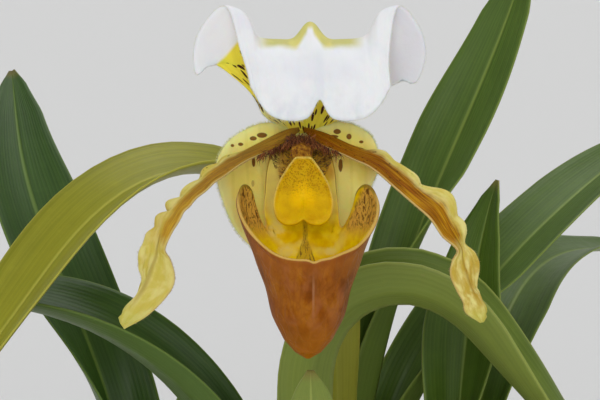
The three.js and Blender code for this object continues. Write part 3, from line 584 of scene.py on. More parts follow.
def synsepal_paint():
    paint = Paint("synsepal", Subsurface_Weight=0.45, Subsurface_Scale=0.002, Specular_IOR_Level=0.2)
    along, _, side = paint.vector("place").parts()
    spot = paint.vector("spot")
    x, y, _ = spot.parts()
    drift = spot.noise(0.12, 3)
    veins = (x * 1.9 + y * 0.12 * drift + drift * 3).wave()
    ragged = spot.noise(1.1, 3) * 0.5 - 0.25
    marks = spots_mask(x, y, SYNSEPAL_SPOTS, ragged) * (1 - y.within(-8.5, -11) * 0.6)
    base = paint.coats(
        "fff38a",
        (spot.noise(0.09, 3).within(0.3, 0.7), "fae764"),
        (veins.within(0.6, 1.0) * 0.2, "d8cf50"),
        (along.within(0.2, 0.0) * 0.45, "f2f2b8"),
        (y.within(-18, -36) * 0.4, "d0d47c"),
        (marks * side, paint.mix(marks.within(0.9, 1.0), "4a2c0c", "8a5f1c")),
        ((1 - side) * 0.45, "b9c070"))
    height = veins * 0.3 + spot.noise(1.2, 4, 0.6)
    return paint.finish(base, 0.55 + drift * 0.15, height, 0.14)


def petal_paint():
    """Brown streaks along the lower part of each petal, gold towards the left one's end, and pale margins."""
    paint = Paint("petal", Subsurface_Weight=0.12, Subsurface_Scale=0.0015, Specular_IOR_Level=0.08)
    along, across, side = paint.vector("place").parts()
    spot = paint.vector("spot")
    drift = spot.noise(0.25, 3)
    streak = paint.join(along * 10, across * 26, side * 3).noise(1.0, 4, 0.6)
    broad = paint.join(along * 14, across * 5, side * 3).noise(1.0, 3, 0.5)
    dots = paint.join(along * 60, across * 6, side * 3).cells(1.0)
    left = spot.parts()[0].within(3, -3)
    right = 1 - left
    gold = paint.ramp(streak * 0.7 + broad * 0.3, (0.38, "8a4e00"), (0.47, "be840a"), (0.58, "deb024"))
    brown = paint.ramp(streak, (0.36, "562200"), (0.5, "925200"), (0.64, "bc8010"))
    inner = paint.mix((along.within(0.56, 0.2) * 0.85).most(right * 0.6), gold, brown)
    limit = across + drift * 0.3 - 0.15 + left * along.within(0.2, 0.48) * 0.18 - right * 0.07
    band = (limit - along.within(0.26, 0.08) * 0.4).within(0.78, 0.5)
    fade = (along + drift * 0.16 - 0.08).within(0.62, 0.5)
    low_line = (across - 0.34).size().within(0.14, 0.02) * along.within(0.5, 0.3)
    # The midrib line on the outer half is partly the midrib's own colour and partly painted shade in the fold
    # along it
    midrib = (across - 0.48).size().within(0.1, 0.01) * along.within(0.5, 0.56) * along.within(0.97, 0.8)
    base = paint.coats(
        "ece08c",
        (broad.within(0.35, 0.65), "d8c658"),
        (band * fade, inner),
        (left * along.within(0.3, 0.5) * fade * 0.3, "c8901a"),
        (low_line * 0.55, "8f4c0e"),
        (across.within(0.05, 0.015) * 0.8, "e4cb84"),
        (midrib * 0.6, "96761c"),
        (right * along.within(0.56, 0.7) * broad.within(0.3, 0.6) * 0.5, "c0922c"),
        (along.within(0.88, 0.97) * 0.4, "c6d05c"),
        (dots.within(0.2, 0.12) * along.within(0.5, 0.15) * 0.8, "3c140e"),
        ((1 - side) * 0.25, "c2b050"))
    veins = (across * 44 + drift * 3).wave()
    height = veins * 0.25 + streak + spot.noise(1.5, 3) * 0.4
    return paint.finish(base, 0.5 + streak * 0.2, height, 0.16)


def pouch_paint():
    """Netted orange-brown outside, with painted highlights down its keel and under its rim. Inside, yellow
    lobes with painted highlights round them, patches of painted light through the wall, mottled ears and a
    hairy strip.
    """
    paint = Paint("pouch", Subsurface_Weight=0.1, Subsurface_Scale=0.0015, Specular_IOR_Level=0.1)
    along, _, side = paint.vector("place").parts()
    spot = paint.vector("spot")
    x, y, z = spot.parts()
    warp = spot.noise(0.22, 3)
    tall = paint.join(x + warp * 2.6, y * 0.45 + warp * 2, z * 0.8)
    net = tall.cells(0.42, "DISTANCE_TO_EDGE")
    small = tall.cells(1.0, "DISTANCE_TO_EDGE")
    cloud = paint.join(x, y * 0.5, z).noise(0.2, 4, 0.6)
    blush = paint.join(x * 0.8, y * 0.35, z).noise(0.35, 3, 0.5)
    # A painted highlight down the pouch's front keel
    keel_highlight = (x - 1.7).size().within(0.35, 0.1) * y.within(-42, -36) * y.within(-30, -34)
    outer = paint.coats(
        paint.ramp(cloud, (0.32, "6a3300"), (0.5, "8e4a00"), (0.68, "ae6a0a")),
        (net.within(0.3, 0.02) * 0.24, "b87430"),
        (small.within(0.16, 0.01) * 0.16, "5c2600"),
        # Painted highlight just under the rim
        (y.within(-33, -27) * 0.35, "b87030"),
        (x.within(6, 13) * 0.4, "80540a"),
        (blush.within(0.52, 0.68) * 0.3, "ac6a42"),
        (y.within(-38, -47) * 0.5, "ac6802"),
        # Painted highlight down the keel
        (keel_highlight * 0.3, "cf9a72"),
        (along.within(0.09, 0.03) * 0.5, "8e4a10"))
    grain = spot.noise(0.6, 3)
    bent = spot.noise(0.7, 4, 0.6)
    inner = paint.mix(grain.within(0.3, 0.7), "ffdf00", "f0c600")
    # Painted highlight in a soft ring round the lower side of each lobe
    for centre_x, centre_y, half_x, half_y in POUCH_LOBES:
        lobe_x, lobe_y = (x - centre_x) * (1 / half_x), (y - centre_y) * (1 / half_y)
        lower = (lobe_y * -1 + lobe_x * (0.6 if centre_x > 0 else -0.3)).within(-0.2, 0.9)
        away = lobe_x * lobe_x + lobe_y * lobe_y + (bent - 0.5) * 1.8
        inner = paint.mix(away.within(3.2, 1.5) * away.within(0.7, 1.4) * lower * 0.4, inner, "f6e47c")
    # Painted light where light shows through the thin wall, and painted highlights
    pale = spots_mask(x, y, POUCH_LIT_PATCHES, (bent - 0.5) * 4.5, 0.6)
    far = (x - POUCH_AXIS).size()
    ears = (far - 11.3 - (y + 13.2) * 0.46).within(0.2, 1.6) * y.within(-25, -20)
    mottled = ears * y.within(-24, -18)
    wrinkle = paint.join(x * 1.5, y * 0.45, z).noise(1.0, 3, 0.6, 1.6)
    claw = (z + 0.6).within(2.6, 1.4) * y.within(-23, -19) * (1 - ears)
    patch = claw * y.within(-12, -9) * far.within(7.2, 5.4)
    # The hairy strip widens as it goes down between the lobes
    strip = (x - POUCH_STRIP).size() - (y + 24).least(0) * -0.36
    hairline = paint.join(x * 5 + (y + 24) * (x - POUCH_STRIP) * 0.5, y * 0.8, z).noise(1.0, 3, 0.6)
    below = y.within(-17, -19)
    inner = paint.coats(
        inner,
        # Painted light through the wall
        (pale * (0.1 + grain * 0.8), "f8e890"),
        (claw * far.within(4, 6.4) * 0.6, "e8e08a"),
        (patch * (0.55 + grain * 0.5), "c69434"),
        (ears * 0.85, "e4b052"),
        (mottled * wrinkle.within(0.44, 0.6) * 0.7, "7c4818"),
        (mottled * wrinkle.within(0.52, 0.6) * 0.6, "4e280a"),
        (strip.within(0.75, 0.25) * below * 0.45, "9c8018"),
        (strip.within(0.7, 0.2) * hairline.within(0.5, 0.62) * below * 0.8, "5a3a08"))
    rim = (along + warp * 0.01).within(0.022, 0.012)
    base = paint.coats(
        inner, (side, outer), (rim * 0.85, paint.mix(y.within(-16, -13), "e2bc62", "a98a2c")))
    outside = side * (net.within(0.0, 0.14) * 0.35 + cloud * 0.8)
    height = outside + (1 - side) * wrinkle * ears * 2 + grain * 0.3
    return paint.finish(base, 0.3 + cloud * 0.14 + (1 - side) * 0.1, height, 0.22)


def shield_paint():
    paint = Paint("staminode", Subsurface_Weight=0.12, Subsurface_Scale=0.001, Specular_IOR_Level=0.08)
    along, _, _ = paint.vector("place").parts()
    spot = paint.vector("spot")
    _, y, _ = spot.parts()
    grain = spot.noise(0.5, 3)
    seeds = spot.cells(2.4)
    upper = (y + grain * 3).within(-14.5, -9)
    base = paint.coats(
        "e4b800",
        (grain.within(0.3, 0.7), "d8a600"),
        (along.within(0.45, 0.85) * 0.95, "ffca00"),
        (upper * seeds.within(0.5, 0.2) * 0.6, "94600c"),
        (upper * 0.35, "b8860e"),
        (along.within(0.06, 0.015) * y.within(-20, -16) * 0.7, "ecd06a"))
    height = seeds.within(0.6, 0.1) * (0.25 + upper * 0.75) + grain * 0.4
    return paint.finish(base, 0.36 + upper * 0.15, height, 0.14)


def column_paint():
    paint = Paint("column", Specular_IOR_Level=0.2)
    spot = paint.vector("spot")
    _, y, z = spot.parts()
    grain = spot.noise(0.9, 4, 0.6)
    warts = spot.cells(2.2)
    base = paint.coats(
        paint.ramp(grain, (0.36, "602e06"), (0.5, "96600e"), (0.64, "c48e22")),
        # Painted shade, darker further back into the flower
        (z.within(5.5, 1) * 0.8, "3c1208"),
        (y.within(-5.2, -3.2) * 0.35, "6a3412"),
        (warts.within(0.34, 0.2) * 0.6, "5c2c0c"))
    return paint.finish(base, 0.55 + grain * 0.2, grain + warts * 0.5, 0.2)


def stem_paint(name, dark, light):
    paint = Paint(name, Sheen_Weight=0.2, Sheen_Roughness=0.5)
    _, across, _ = paint.vector("place").parts()
    spot = paint.vector("spot")
    grain = spot.noise(0.35, 4, 0.6)
    lines = (across * 60 + grain * 3).wave()
    base = paint.coats(
        dark,
        (grain.within(0.3, 0.7), light),
        (lines.within(0.3, 1.0) * 0.25, dark),
        (spot.cells(1.5).within(0.28, 0.14) * 0.45, "4c2226"))
    return paint.finish(base, 0.6, lines * 0.4 + grain, 0.15)


def hair_paint(name, root, tip):
    """Each hair has a tint of its own, and is a little nearer the tip's colour towards its end."""
    paint = Paint(name)
    along, across, _ = paint.vector("place").parts()
    tint = paint.join(across * 90, 0.5, 0.5).noise(4.0, 1)
    base = paint.mix(along * 0.2 + tint.within(0.45, 0.57) * 0.75, root, tip)
    return paint.finish(base, 0.5, tint, 0.01)


def pot_paint():
    """Terracotta, damp at its foot, with salt bloom and a little algae."""
    paint = Paint("terracotta")
    spot = paint.vector("spot")
    x, y, z = spot.parts()
    cloud = spot.noise(0.022, 5, 0.6)
    grain = spot.noise(0.9, 5, 0.7)
    speck = spot.cells(0.55)
    rings = paint.join(x * 0.02, y * 0.02, z).noise(0.9, 3, 0.6)
    bloom = spot.noise(0.05, 6, 0.7, 0.6)
    salt = bloom.within(0.52, 0.66) * (z.within(80, 92) * 0.7 + z.within(22, 8) * 0.5 + 0.2)
    algae = spot.noise(0.035, 5, 0.65)
    base = paint.coats(
        paint.ramp(cloud * 0.7 + rings * 0.3, (0.3, "9c4c2a"), (0.5, "b5623c"), (0.7, "c47a52")),
        (grain.within(0.55, 0.75) * 0.3, "8a4226"),
        (speck.within(0.16, 0.08) * 0.4, "d9a888"),
        ((z + cloud * 36).within(34, 12) * 0.45, "7c4630"),
        (salt * 0.6, "e2cdbc"),
        (algae.within(0.6, 0.74) * z.within(60, 20) * 0.35, "5d6138"))
    height = grain * 0.5 + rings * 1.2 + speck.within(0.2, 0.0) * -0.6 + salt * 0.5
    return paint.finish(base, 0.78 + grain * 0.15, height, 0.35)


def bark_paint():
    paint = Paint("bark")
    spot = paint.vector("spot")
    x, y, z = spot.parts()
    cloud = spot.noise(0.07, 3)
    fibre = paint.join(x * 0.5, y * 1.4, z * 1.6).noise(0.8, 6, 0.7, 0.8)
    tint = spot.cells(0.09, output="Color").parts()[0]
    base = paint.coats(
        paint.ramp(fibre, (0.3, "2a1a12"), (0.5, "4d3425"), (0.72, "7a563c")),
        (tint * 0.5, paint.ramp(cloud, (0.4, "6b4430"), (0.6, "94705a"))),
        (fibre.within(0.62, 0.74) * 0.3, "a58a72"),
        # Painted shade, darker below the top of the mix in its hollows
        (z.within(99, 90) * 0.6, "1c120c"))
    return paint.finish(base, 0.88, fibre + cloud * 0.4, 0.9)


def moss_paint():
    paint = Paint("moss", Sheen_Weight=0.3, Sheen_Roughness=0.5)
    along, across, _ = paint.vector("place").parts()
    tint = paint.join(across * 60, 0.5, 0.5).noise(4.0, 2)
    base = paint.mix(along, "2c3d14", paint.mix(tint.within(0.3, 0.7), "6d8a2c", "93a645"))
    return paint.finish(base, 0.75, tint, 0.02)


# Pot

POT_HEIGHT = 115
POT_FOOT_RADIUS = 43
POT_TOP_RADIUS = 60
POT_RIM_RADIUS = 65
POT_LEDGE = 91
POT_WALL = 5
POT_FLOOR = 8
POT_SIDES = 144
# The pot's outline is cut about every so many millimetres, and its corners are rounded this much
POT_BAND = 4
POT_ROUNDING = 1.2
DRAINS = 4
DRAIN_CIRCLE = 22
DRAIN_RADIUS = 4.5
DRAIN_SIDES = 32


def rounded(outline, radius, steps=4):
    """An outline with its inner corners rounded, at most by radius."""
    points = [np.array(p, float) for p in outline]
    result = [points[0]]
    for before, corner, after in zip(points, points[1:], points[2:]):
        back, ahead = before - corner, after - corner
        cut = min(radius, np.linalg.norm(back) * 0.45, np.linalg.norm(ahead) * 0.45)
        start = corner + unit(back) * cut
        end = corner + unit(ahead) * cut
        for step in range(steps + 1):
            t = step / steps
            result.append(start * (1 - t) ** 2 + corner * 2 * t * (1 - t) + end * t * t)
    result.append(points[-1])
    return np.array(result)


def cut_drain(pot, x, y):
    """Cuts one drainage hole through the pot's floor."""
    mesh = bpy.data.meshes.new("drill")
    form = bmesh.new()
    bmesh.ops.create_cone(
        form, cap_ends=True, segments=DRAIN_SIDES, radius1=DRAIN_RADIUS * MM, radius2=DRAIN_RADIUS * MM,
        depth=6 * POT_FLOOR * MM, matrix=Matrix.Translation((x * MM, y * MM, 0)))
    form.to_mesh(mesh)
    form.free()
    drill = add_object("drill", mesh)
    cut = pot.modifiers.new("drain", "BOOLEAN")
    cut.object = drill
    cut.solver = "EXACT"
    bpy.context.view_layer.update()
    drained = pot.evaluated_get(bpy.context.evaluated_depsgraph_get())
    drained_mesh = bpy.data.meshes.new_from_object(drained)
    pot.modifiers.clear()
    pot.data = drained_mesh
    bpy.data.objects.remove(drill)


def make_pot():
    outline = rounded([
        [0, 0], [POT_FOOT_RADIUS - 2, 0], [POT_FOOT_RADIUS, 2],
        [POT_TOP_RADIUS, POT_LEDGE], [POT_RIM_RADIUS - 1.5, POT_LEDGE], [POT_RIM_RADIUS, POT_LEDGE + 1.5],
        [POT_RIM_RADIUS, POT_HEIGHT - 2], [POT_RIM_RADIUS - 2, POT_HEIGHT],
        [POT_RIM_RADIUS - POT_WALL, POT_HEIGHT], [POT_TOP_RADIUS - POT_WALL + 1, POT_LEDGE - 4],
        [POT_FOOT_RADIUS - POT_WALL + 1, POT_FLOOR + 3], [POT_FOOT_RADIUS - POT_WALL - 2, POT_FLOOR],
        [0, POT_FLOOR],
    ], POT_ROUNDING)
    fine = [outline[0]]
    for start, end in zip(outline, outline[1:]):
        steps = max(1, int(np.linalg.norm(end - start) / POT_BAND))
        fine.extend(start + (end - start) * (k + 1) / steps for k in range(steps))
    rings = np.array(fine)[1:-1]
    angle = np.arange(POT_SIDES) / POT_SIDES * 2 * math.pi
    # It is a little out of round
    radius = rings[:, :1] * (1 + 0.0012 * np.sin(3 * angle + 1) + 0.0008 * np.sin(7 * angle))
    points = np.stack([radius * np.cos(angle), radius * np.sin(angle), rings[:, 1:] * np.ones(POT_SIDES)], -1)
    points = np.concatenate([points.reshape(-1, 3), [[0, 0, 0], [0, 0, POT_FLOOR]]])
    pot = add_piece(
        "pot_clay", points, lathe_faces(len(rings), POT_SIDES), np.zeros(points.shape), pot_paint(),
        replaces="pot", slot="terracotta")
    for k in range(DRAINS):
        turn = (k + 0.5) / DRAINS * 2 * math.pi
        cut_drain(pot, DRAIN_CIRCLE * math.cos(turn), DRAIN_CIRCLE * math.sin(turn))
    # The cuts change the points, so their spots are taken anew
    mesh = pot.data
    for key in ("place", "spot"):
        if key in mesh.attributes:
            mesh.attributes.remove(mesh.attributes[key])
    keep_vectors(mesh, "spot", np.array([vertex.co for vertex in mesh.vertices]) / MM)
    edges = pot.modifiers.new("soft edges", "WEIGHTED_NORMAL")
    edges.keep_sharp = True


# Bark mix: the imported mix, roughened, under loose chips and moss

MIX_TOP = 100
MIX_RADIUS = 50
CHIPS = 190
# Each chip is turned on from the last by the golden angle, which spreads them evenly
CHIP_TURN = 2.39996
TUFTS = 26
TUFT_STRANDS = 110
# How far round a growth's middle the mix is kept clear
MAIN_CLEAR = 12
GROWTH_CLEAR = 9


def in_growth(x, y, margin):
    """Whether a place on the mix is less than margin away from where a growth stands."""
    for growth in GROWTHS:
        clear = MAIN_CLEAR if growth.flowering else GROWTH_CLEAR
        if math.hypot(x - growth.x, y - growth.y) < clear + margin:
            return True
    return False


def make_chip(random):
    """A cube of 4 by 4 by 4 cells with blunt corners and every point pushed about."""
    form = bmesh.new()
    bmesh.ops.create_cube(form, size=1)
    bmesh.ops.subdivide_edges(form, edges=form.edges[:], cuts=3, use_grid_fill=True)
    points, faces = taken_from(form)
    points = points * (0.82 + 0.18 / np.maximum(np.linalg.norm(points, axis=1, keepdims=True) * 1.6, 0.5))
    return points + random.normal(0, 0.035, points.shape), faces


def make_ground(material):
    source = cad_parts["potting_mix"].data
    points = np.array([v.co for v in source.vertices]) / MM
    faces = [list(p.vertices) for p in source.polygons]
    ground = add_piece(
        "bark_mix", points, faces, np.zeros(points.shape), material, replaces="potting_mix", slot="bark_mix")
    weld = ground.modifiers.new("weld", "WELD")
    weld.merge_threshold = 1e-6
    split = ground.modifiers.new("finer", "SUBSURF")
    split.subdivision_type = "SIMPLE"
    split.levels = split.render_levels = 2
    clouds = bpy.data.textures.new("rough", "CLOUDS")
    clouds.noise_scale = 0.004
    clouds.noise_depth = 4
    rough = ground.modifiers.new("rough", "DISPLACE")
    rough.texture = clouds
    rough.texture_coords = "LOCAL"
    rough.strength = 0.0022
    rough.mid_level = 0.6


def make_mix():
    material = bark_paint()
    make_ground(material)
    random = np.random.default_rng(11)
    lot = Lot()
    for k in range(CHIPS):
        far = MIX_RADIUS * math.sqrt((k + 0.5) / CHIPS)
        turn = k * CHIP_TURN + random.uniform(-0.3, 0.3)
        x, y = far * math.cos(turn), far * math.sin(turn)
        length = random.uniform(5, 12)
        points, faces = make_chip(random)
        size = [length, length * random.uniform(0.45, 0.8), length * random.uniform(0.18, 0.32)]
        tilt = rotation(random.uniform(-0.45, 0.45), random.uniform(-0.45, 0.45), random.uniform(0, math.pi))
        height = MIX_TOP + 2.6 - 1.6 * far / MIX_RADIUS + random.uniform(0, 2.0)
        if not in_growth(x, y, length * 0.45):
            lot.add((points * size) @ tilt.T + [x, y, height], faces, [k / CHIPS, random.uniform(), 1])
    lot.piece("bark_chips", material, slot="bark_mix")

    roots, directions, lengths = [], [], []
    for _ in range(TUFTS):
        turn = random.uniform(0, 2 * math.pi)
        far = random.uniform(18, MIX_RADIUS)
        x, y = far * math.cos(turn), far * math.sin(turn)
        if in_growth(x, y, 1):
            continue
        for _ in range(TUFT_STRANDS):
            dx, dy = random.normal(0, 2.6, 2)
            lift = 1.6 * math.exp(-(dx * dx + dy * dy) / 12)
            roots.append([x + dx, y + dy, MIX_TOP + 1.6 - far * 0.02 + lift])
            directions.append([dx * 0.12 + random.normal(0, 0.3), dy * 0.12 + random.normal(0, 0.3), 1])
            lengths.append(random.uniform(1.0, 2.6))
    hairs("moss", [(roots, directions, lengths)], 0.22, moss_paint())


# Leaves

SCAPE_RADIUS = 2.2
CLEARANCE = 0.3
LEAF_THICKNESS = 1.1
LEAF_FOOT = 92
NEST_STEP = 1.6
MAIN_CORE = SCAPE_RADIUS + CLEARANCE + LEAF_THICKNESS / 2 + 0.2
Growth = namedtuple("Growth", "name x y fan core flowering")
GROWTHS = [
    Growth("main", -3, 6, -4, MAIN_CORE, True),
    Growth("back", 10, 42, 30, 1, False),
    Growth("right", 37.5, 26.5, 68, 1, False),
    Growth("left", -38, 28, 140, 1, False),
    Growth("young", 3, -21, 85, 1, False),
]
Leaf = namedtuple("Leaf", "growth side length width bend start end turn tone")
LEAVES = [Leaf(*row) for row in [
    (0, -1, 105, 20, 6, 0.3, 1, 0, "mid"),
    (0, 1, 272, 30, 138, 0.42, 0.64, 3, "light"),
    (0, -1, 280, 28, 108, 0.16, 0.8, -34, "dark"),
    (0, 1, 215, 28, 128, 0, 0.8, -66, "mid"),
    (0, -1, 215, 27, 125, 0, 0.8, 32, "mid"),
    (1, 1, 240, 29, 40, 0.1, 1, 32, "mid"),
    (1, -1, 100, 20, 2, 0.3, 1, 0, "mid"),
    (1, 1, 240, 28, 85, 0.03, 1, 24, "mid"),
    (1, -1, 322, 30, 137, 0.36, 0.74, 6, "olive"),
    (1, 1, 165, 26, 112, 0, 0.85, 62, "dark"),
    (2, -1, 90, 20, 4, 0.3, 1, 0, "light"),
    (2, 1, 165, 27, 20, 0.1, 1, -35, "mid"),
    (2, -1, 112, 24, 8, 0.2, 1, 0, "mid"),
    (2, 1, 250, 28, 102, 0.03, 0.85, -12, "mid"),
    (3, 1, 80, 20, 4, 0.3, 1, 0, "light"),
    (3, -1, 124, 23, 10, 0.2, 1, 0, "mid"),
    (3, 1, 222, 29, 62, 0.08, 1, -38, "dark"),
    (3, -1, 58, 22, 14, 0.1, 1, 0, "mid"),
    (4, 1, 70, 18, 4, 0.3, 1, 0, "light"),
    (4, -1, 142, 26, 12, 0.1, 1, 0, "light"),
]]
LEAF_FORM = graded([(0, 0.4), (0.2, 0.45), (0.5, 0.5), (0.75, 0.45), (0.9, 0.28), (0.97, 0.13), (1, 0.03)])
LEAF_STEPS = 60
# A leaf's faces: so many across, and about this long
LEAF_COLUMNS = 28
LEAF_CELL = 2.6
# A leaf's section folds at its midrib, and again where its keel meets its arm
SECTION_PIECES = 24
ARM_FROM = 0.5
FAN_DEPTH = 4.5
FOOT_ROOM = 0.7
FOOT_KEEL = math.radians(45)
FOOT_ARM = math.radians(90)
BLADE_KEEL = math.radians(16)
BLADE_ARM = math.radians(26)
# A leaf opens as it comes between these distances from the others, by no more than the rate at a step
FREE_FROM = 6
FREE_TO = 19
FREE_RATE = 0.07
SWING_SPAN = 0.45
RIPPLE_HEIGHT = 0.45
RIPPLE_SPAN = 11
GROOVE_DEPTH = 0.28


def rising_line(leaf):
    """The way a leaf's midrib rises and leans out from its foot: height, distance away and lean."""
    stride = leaf.length / LEAF_STEPS
    steps = np.arange(LEAF_STEPS + 1) / LEAF_STEPS
    lean = math.radians(leaf.bend) * smooth(leaf.start, leaf.end, steps)
    height = LEAF_FOOT + np.concatenate([[0], np.cumsum(np.cos(lean) * stride)[:-1]])
    away = np.concatenate([[0], np.cumsum(np.sin(lean) * stride)[:-1]])
    return height, away, lean


def clear_of(leaf, height, away):
    """How clear a leaf stands, at one step of its length, of the others of its growth and the scape."""
    gaps = [away] if GROWTHS[leaf.growth].flowering else []
    for other in LEAVES:
        if other is leaf or other.growth != leaf.growth:
            continue
        heights, aways, _ = rising_line(other)
        reached = np.nonzero(heights >= height)[0]
        if len(reached):
            level = aways[reached[0]]
            gaps.append(abs(level - away) if other.side == leaf.side else level + away)
    return min(gaps, default=math.inf)


def leaf_stations(leaf, nest):
    """Places along a leaf's midrib: where it is, which way is outward, its lean and how far it has opened."""
    growth = GROWTHS[leaf.growth]
    stride = leaf.length / LEAF_STEPS
    heights, aways, leans = rising_line(leaf)
    place = np.array([growth.x, growth.y, LEAF_FOOT], float)
    free = swing = 0.0
    stations = []
    for index in range(LEAF_STEPS + 1):
        clear = float(smooth(FREE_FROM, FREE_TO, clear_of(leaf, heights[index], aways[index])))
        free = max(free, min(free + FREE_RATE, clear))
        swing += free / (LEAF_STEPS * SWING_SPAN)
        turn = leaf.turn * float(smooth(0, 1, swing))
        heading = math.radians(growth.fan + (0 if leaf.side > 0 else 180) + turn)
        outward = np.array([math.cos(heading), math.sin(heading), 0.0])
        if index == 0:
            place = place + outward * (nest + FAN_DEPTH)
        stations.append([*place, *outward, leans[index], free])
        place = place + outward * math.sin(leans[index]) * stride
        place[2] += math.cos(leans[index]) * stride
    return np.array(stations)


def leaf_surface(leaf, rank, seed):
    """The middle surface of one leaf, folded flat at its foot and opening once it is clear of the others."""
    nest = GROWTHS[leaf.growth].core + rank * NEST_STEP
    foot_keel = nest * math.sqrt(2)
    foot_arm = 2 * FAN_DEPTH + NEST_STEP - LEAF_THICKNESS * math.sqrt(2) - FOOT_ROOM
    stations = leaf_stations(leaf, nest)
    phase = seed * 1.7

    def at(along, across):
        position = np.clip(along, 0, 1) * LEAF_STEPS
        low = np.minimum(np.floor(position).astype(int), LEAF_STEPS - 1)
        part = (position - low)[..., None]
        here = stations[low] * (1 - part) + stations[low + 1] * part
        centre, outward, lean, opened = here[..., :3], unit(here[..., 3:6]), here[..., 6], here[..., 7]
        sideways = np.stack([-outward[..., 1], outward[..., 0], np.zeros(lean.shape)], -1)
        up = -outward * np.cos(lean)[..., None]
        up[..., 2] += np.sin(lean)
        widest = LEAF_FORM(along) * leaf.width
        tapered = (foot_keel + 2) * (1 - smooth(0.7, 1, along))
        clasped = np.maximum(np.minimum(foot_keel + foot_arm, widest), tapered)
        reach = lerp(clasped, widest, opened)
        keel = lerp(np.minimum(foot_keel, 0.85 * reach), 0.5 * reach, opened)
        keel_fold = lerp(FOOT_KEEL, BLADE_KEEL, opened)
        arm_fold = lerp(FOOT_ARM, BLADE_ARM, opened)
        # The section is a sum of short straight pieces whose slope turns softly where the blade is open
        share = (np.arange(SECTION_PIECES) + 0.5) / SECTION_PIECES
        edge = np.abs(across * 2 - 1)[..., None]
        soft = (0.04 + 0.4 * opened)[..., None]
        bent = np.clip((share * edge - ARM_FROM) / soft + 0.5, 0, 1)
        slope = lerp(keel_fold[..., None], arm_fold[..., None], bent)
        slope = slope * (1 - 0.75 * opened[..., None] * bell(share * edge, 0, 0.12))
        rate = np.where(share * edge < ARM_FROM, 2 * keel[..., None], 2 * (reach - keel)[..., None])
        step = rate * edge / SECTION_PIECES
        flat = (np.cos(slope) * step).sum(-1) * np.sign(across - 0.5)
        raised = (np.sin(slope) * step).sum(-1)
        loose = opened * smooth(0.1, 0.4, along)
        wave = along * leaf.length / RIPPLE_SPAN + phase + 2 * np.sign(across - 0.5)
        raised = raised + loose * (RIPPLE_HEIGHT * (np.sin(wave) * edge[..., 0] ** 2))
        return centre + sideways * flat[..., None] + up * raised[..., None]

    return at


def leaf_groove(along, across, side, points):
    """The midrib, sunk in the upper face and raised on the lower."""
    groove = GROOVE_DEPTH * bell(np.abs(across * 2 - 1), 0, 0.05)
    return groove * smooth(0, 0.1, along) * (1 - smooth(0.9, 1, along)) * (-1 if side else 1)


def make_leaves():
    paints = {
        "dark": leaf_paint("leaf_dark", "243f10", "436220", "718a3a"),
        "mid": leaf_paint("leaf_mid", "3a5214", "5e7a28", "8a9c46"),
        "light": leaf_paint("leaf_light", "4e6418", "7a8e30", "a4ae58"),
        "olive": leaf_paint("leaf_olive", "767810", "a8a428", "bcb84c"),
    }
    ranks = {}
    for index, leaf in enumerate(LEAVES):
        rank = ranks.get(leaf.growth, 0)
        ranks[leaf.growth] = rank + 1
        node = f"leaf_{GROWTHS[leaf.growth].name}_{rank + 1}"
        rows = max(40, int(leaf.length / LEAF_CELL))
        sheet(
            f"{node}_blade", leaf_surface(leaf, rank, index), rows, LEAF_COLUMNS, LEAF_THICKNESS,
            paints[leaf.tone], relief=leaf_groove, replaces=node, slot="leaf")


# Stalk

SCAPE_TOP = 247
SCAPE_TOP_Y = 7
SCAPE_TAPER = 0.4
OVARY_RADIUS = graded([(0, 1.7), (0.2, 1.6), (0.45, 2.3), (0.75, 2.5), (0.92, 2.2), (1, 2.5)])
BRACT_HALF_WIDTH = graded([(0, 4.6), (0.3, 6.2), (0.6, 5.4), (0.85, 3), (1, 0.5)])
BRACT_CLASP = SCAPE_RADIUS + CLEARANCE + 0.35
BRACT_LENGTH = 34
BRACT_LEAN = 0.17
BRACT_DROP = 8


def scape_radius(place):
    return SCAPE_RADIUS - SCAPE_TAPER * place


def bract_surface(along, across):
    """A pointed blade that clasps the stalk at its foot and leans away from it."""
    angle = np.clip((across * 2 - 1) * BRACT_HALF_WIDTH(along) / BRACT_CLASP, -2.3, 2.3)
    centre_y = SCAPE_TOP_Y + BRACT_CLASP + BRACT_LENGTH * BRACT_LEAN * along**3
    return np.stack([
        BRACT_CLASP * np.sin(angle),
        centre_y - BRACT_CLASP * (1 - np.cos(angle)) + 1.5 * along,
        SCAPE_TOP - BRACT_DROP + BRACT_LENGTH * along * np.cos(0.5 * along * along)], -1)


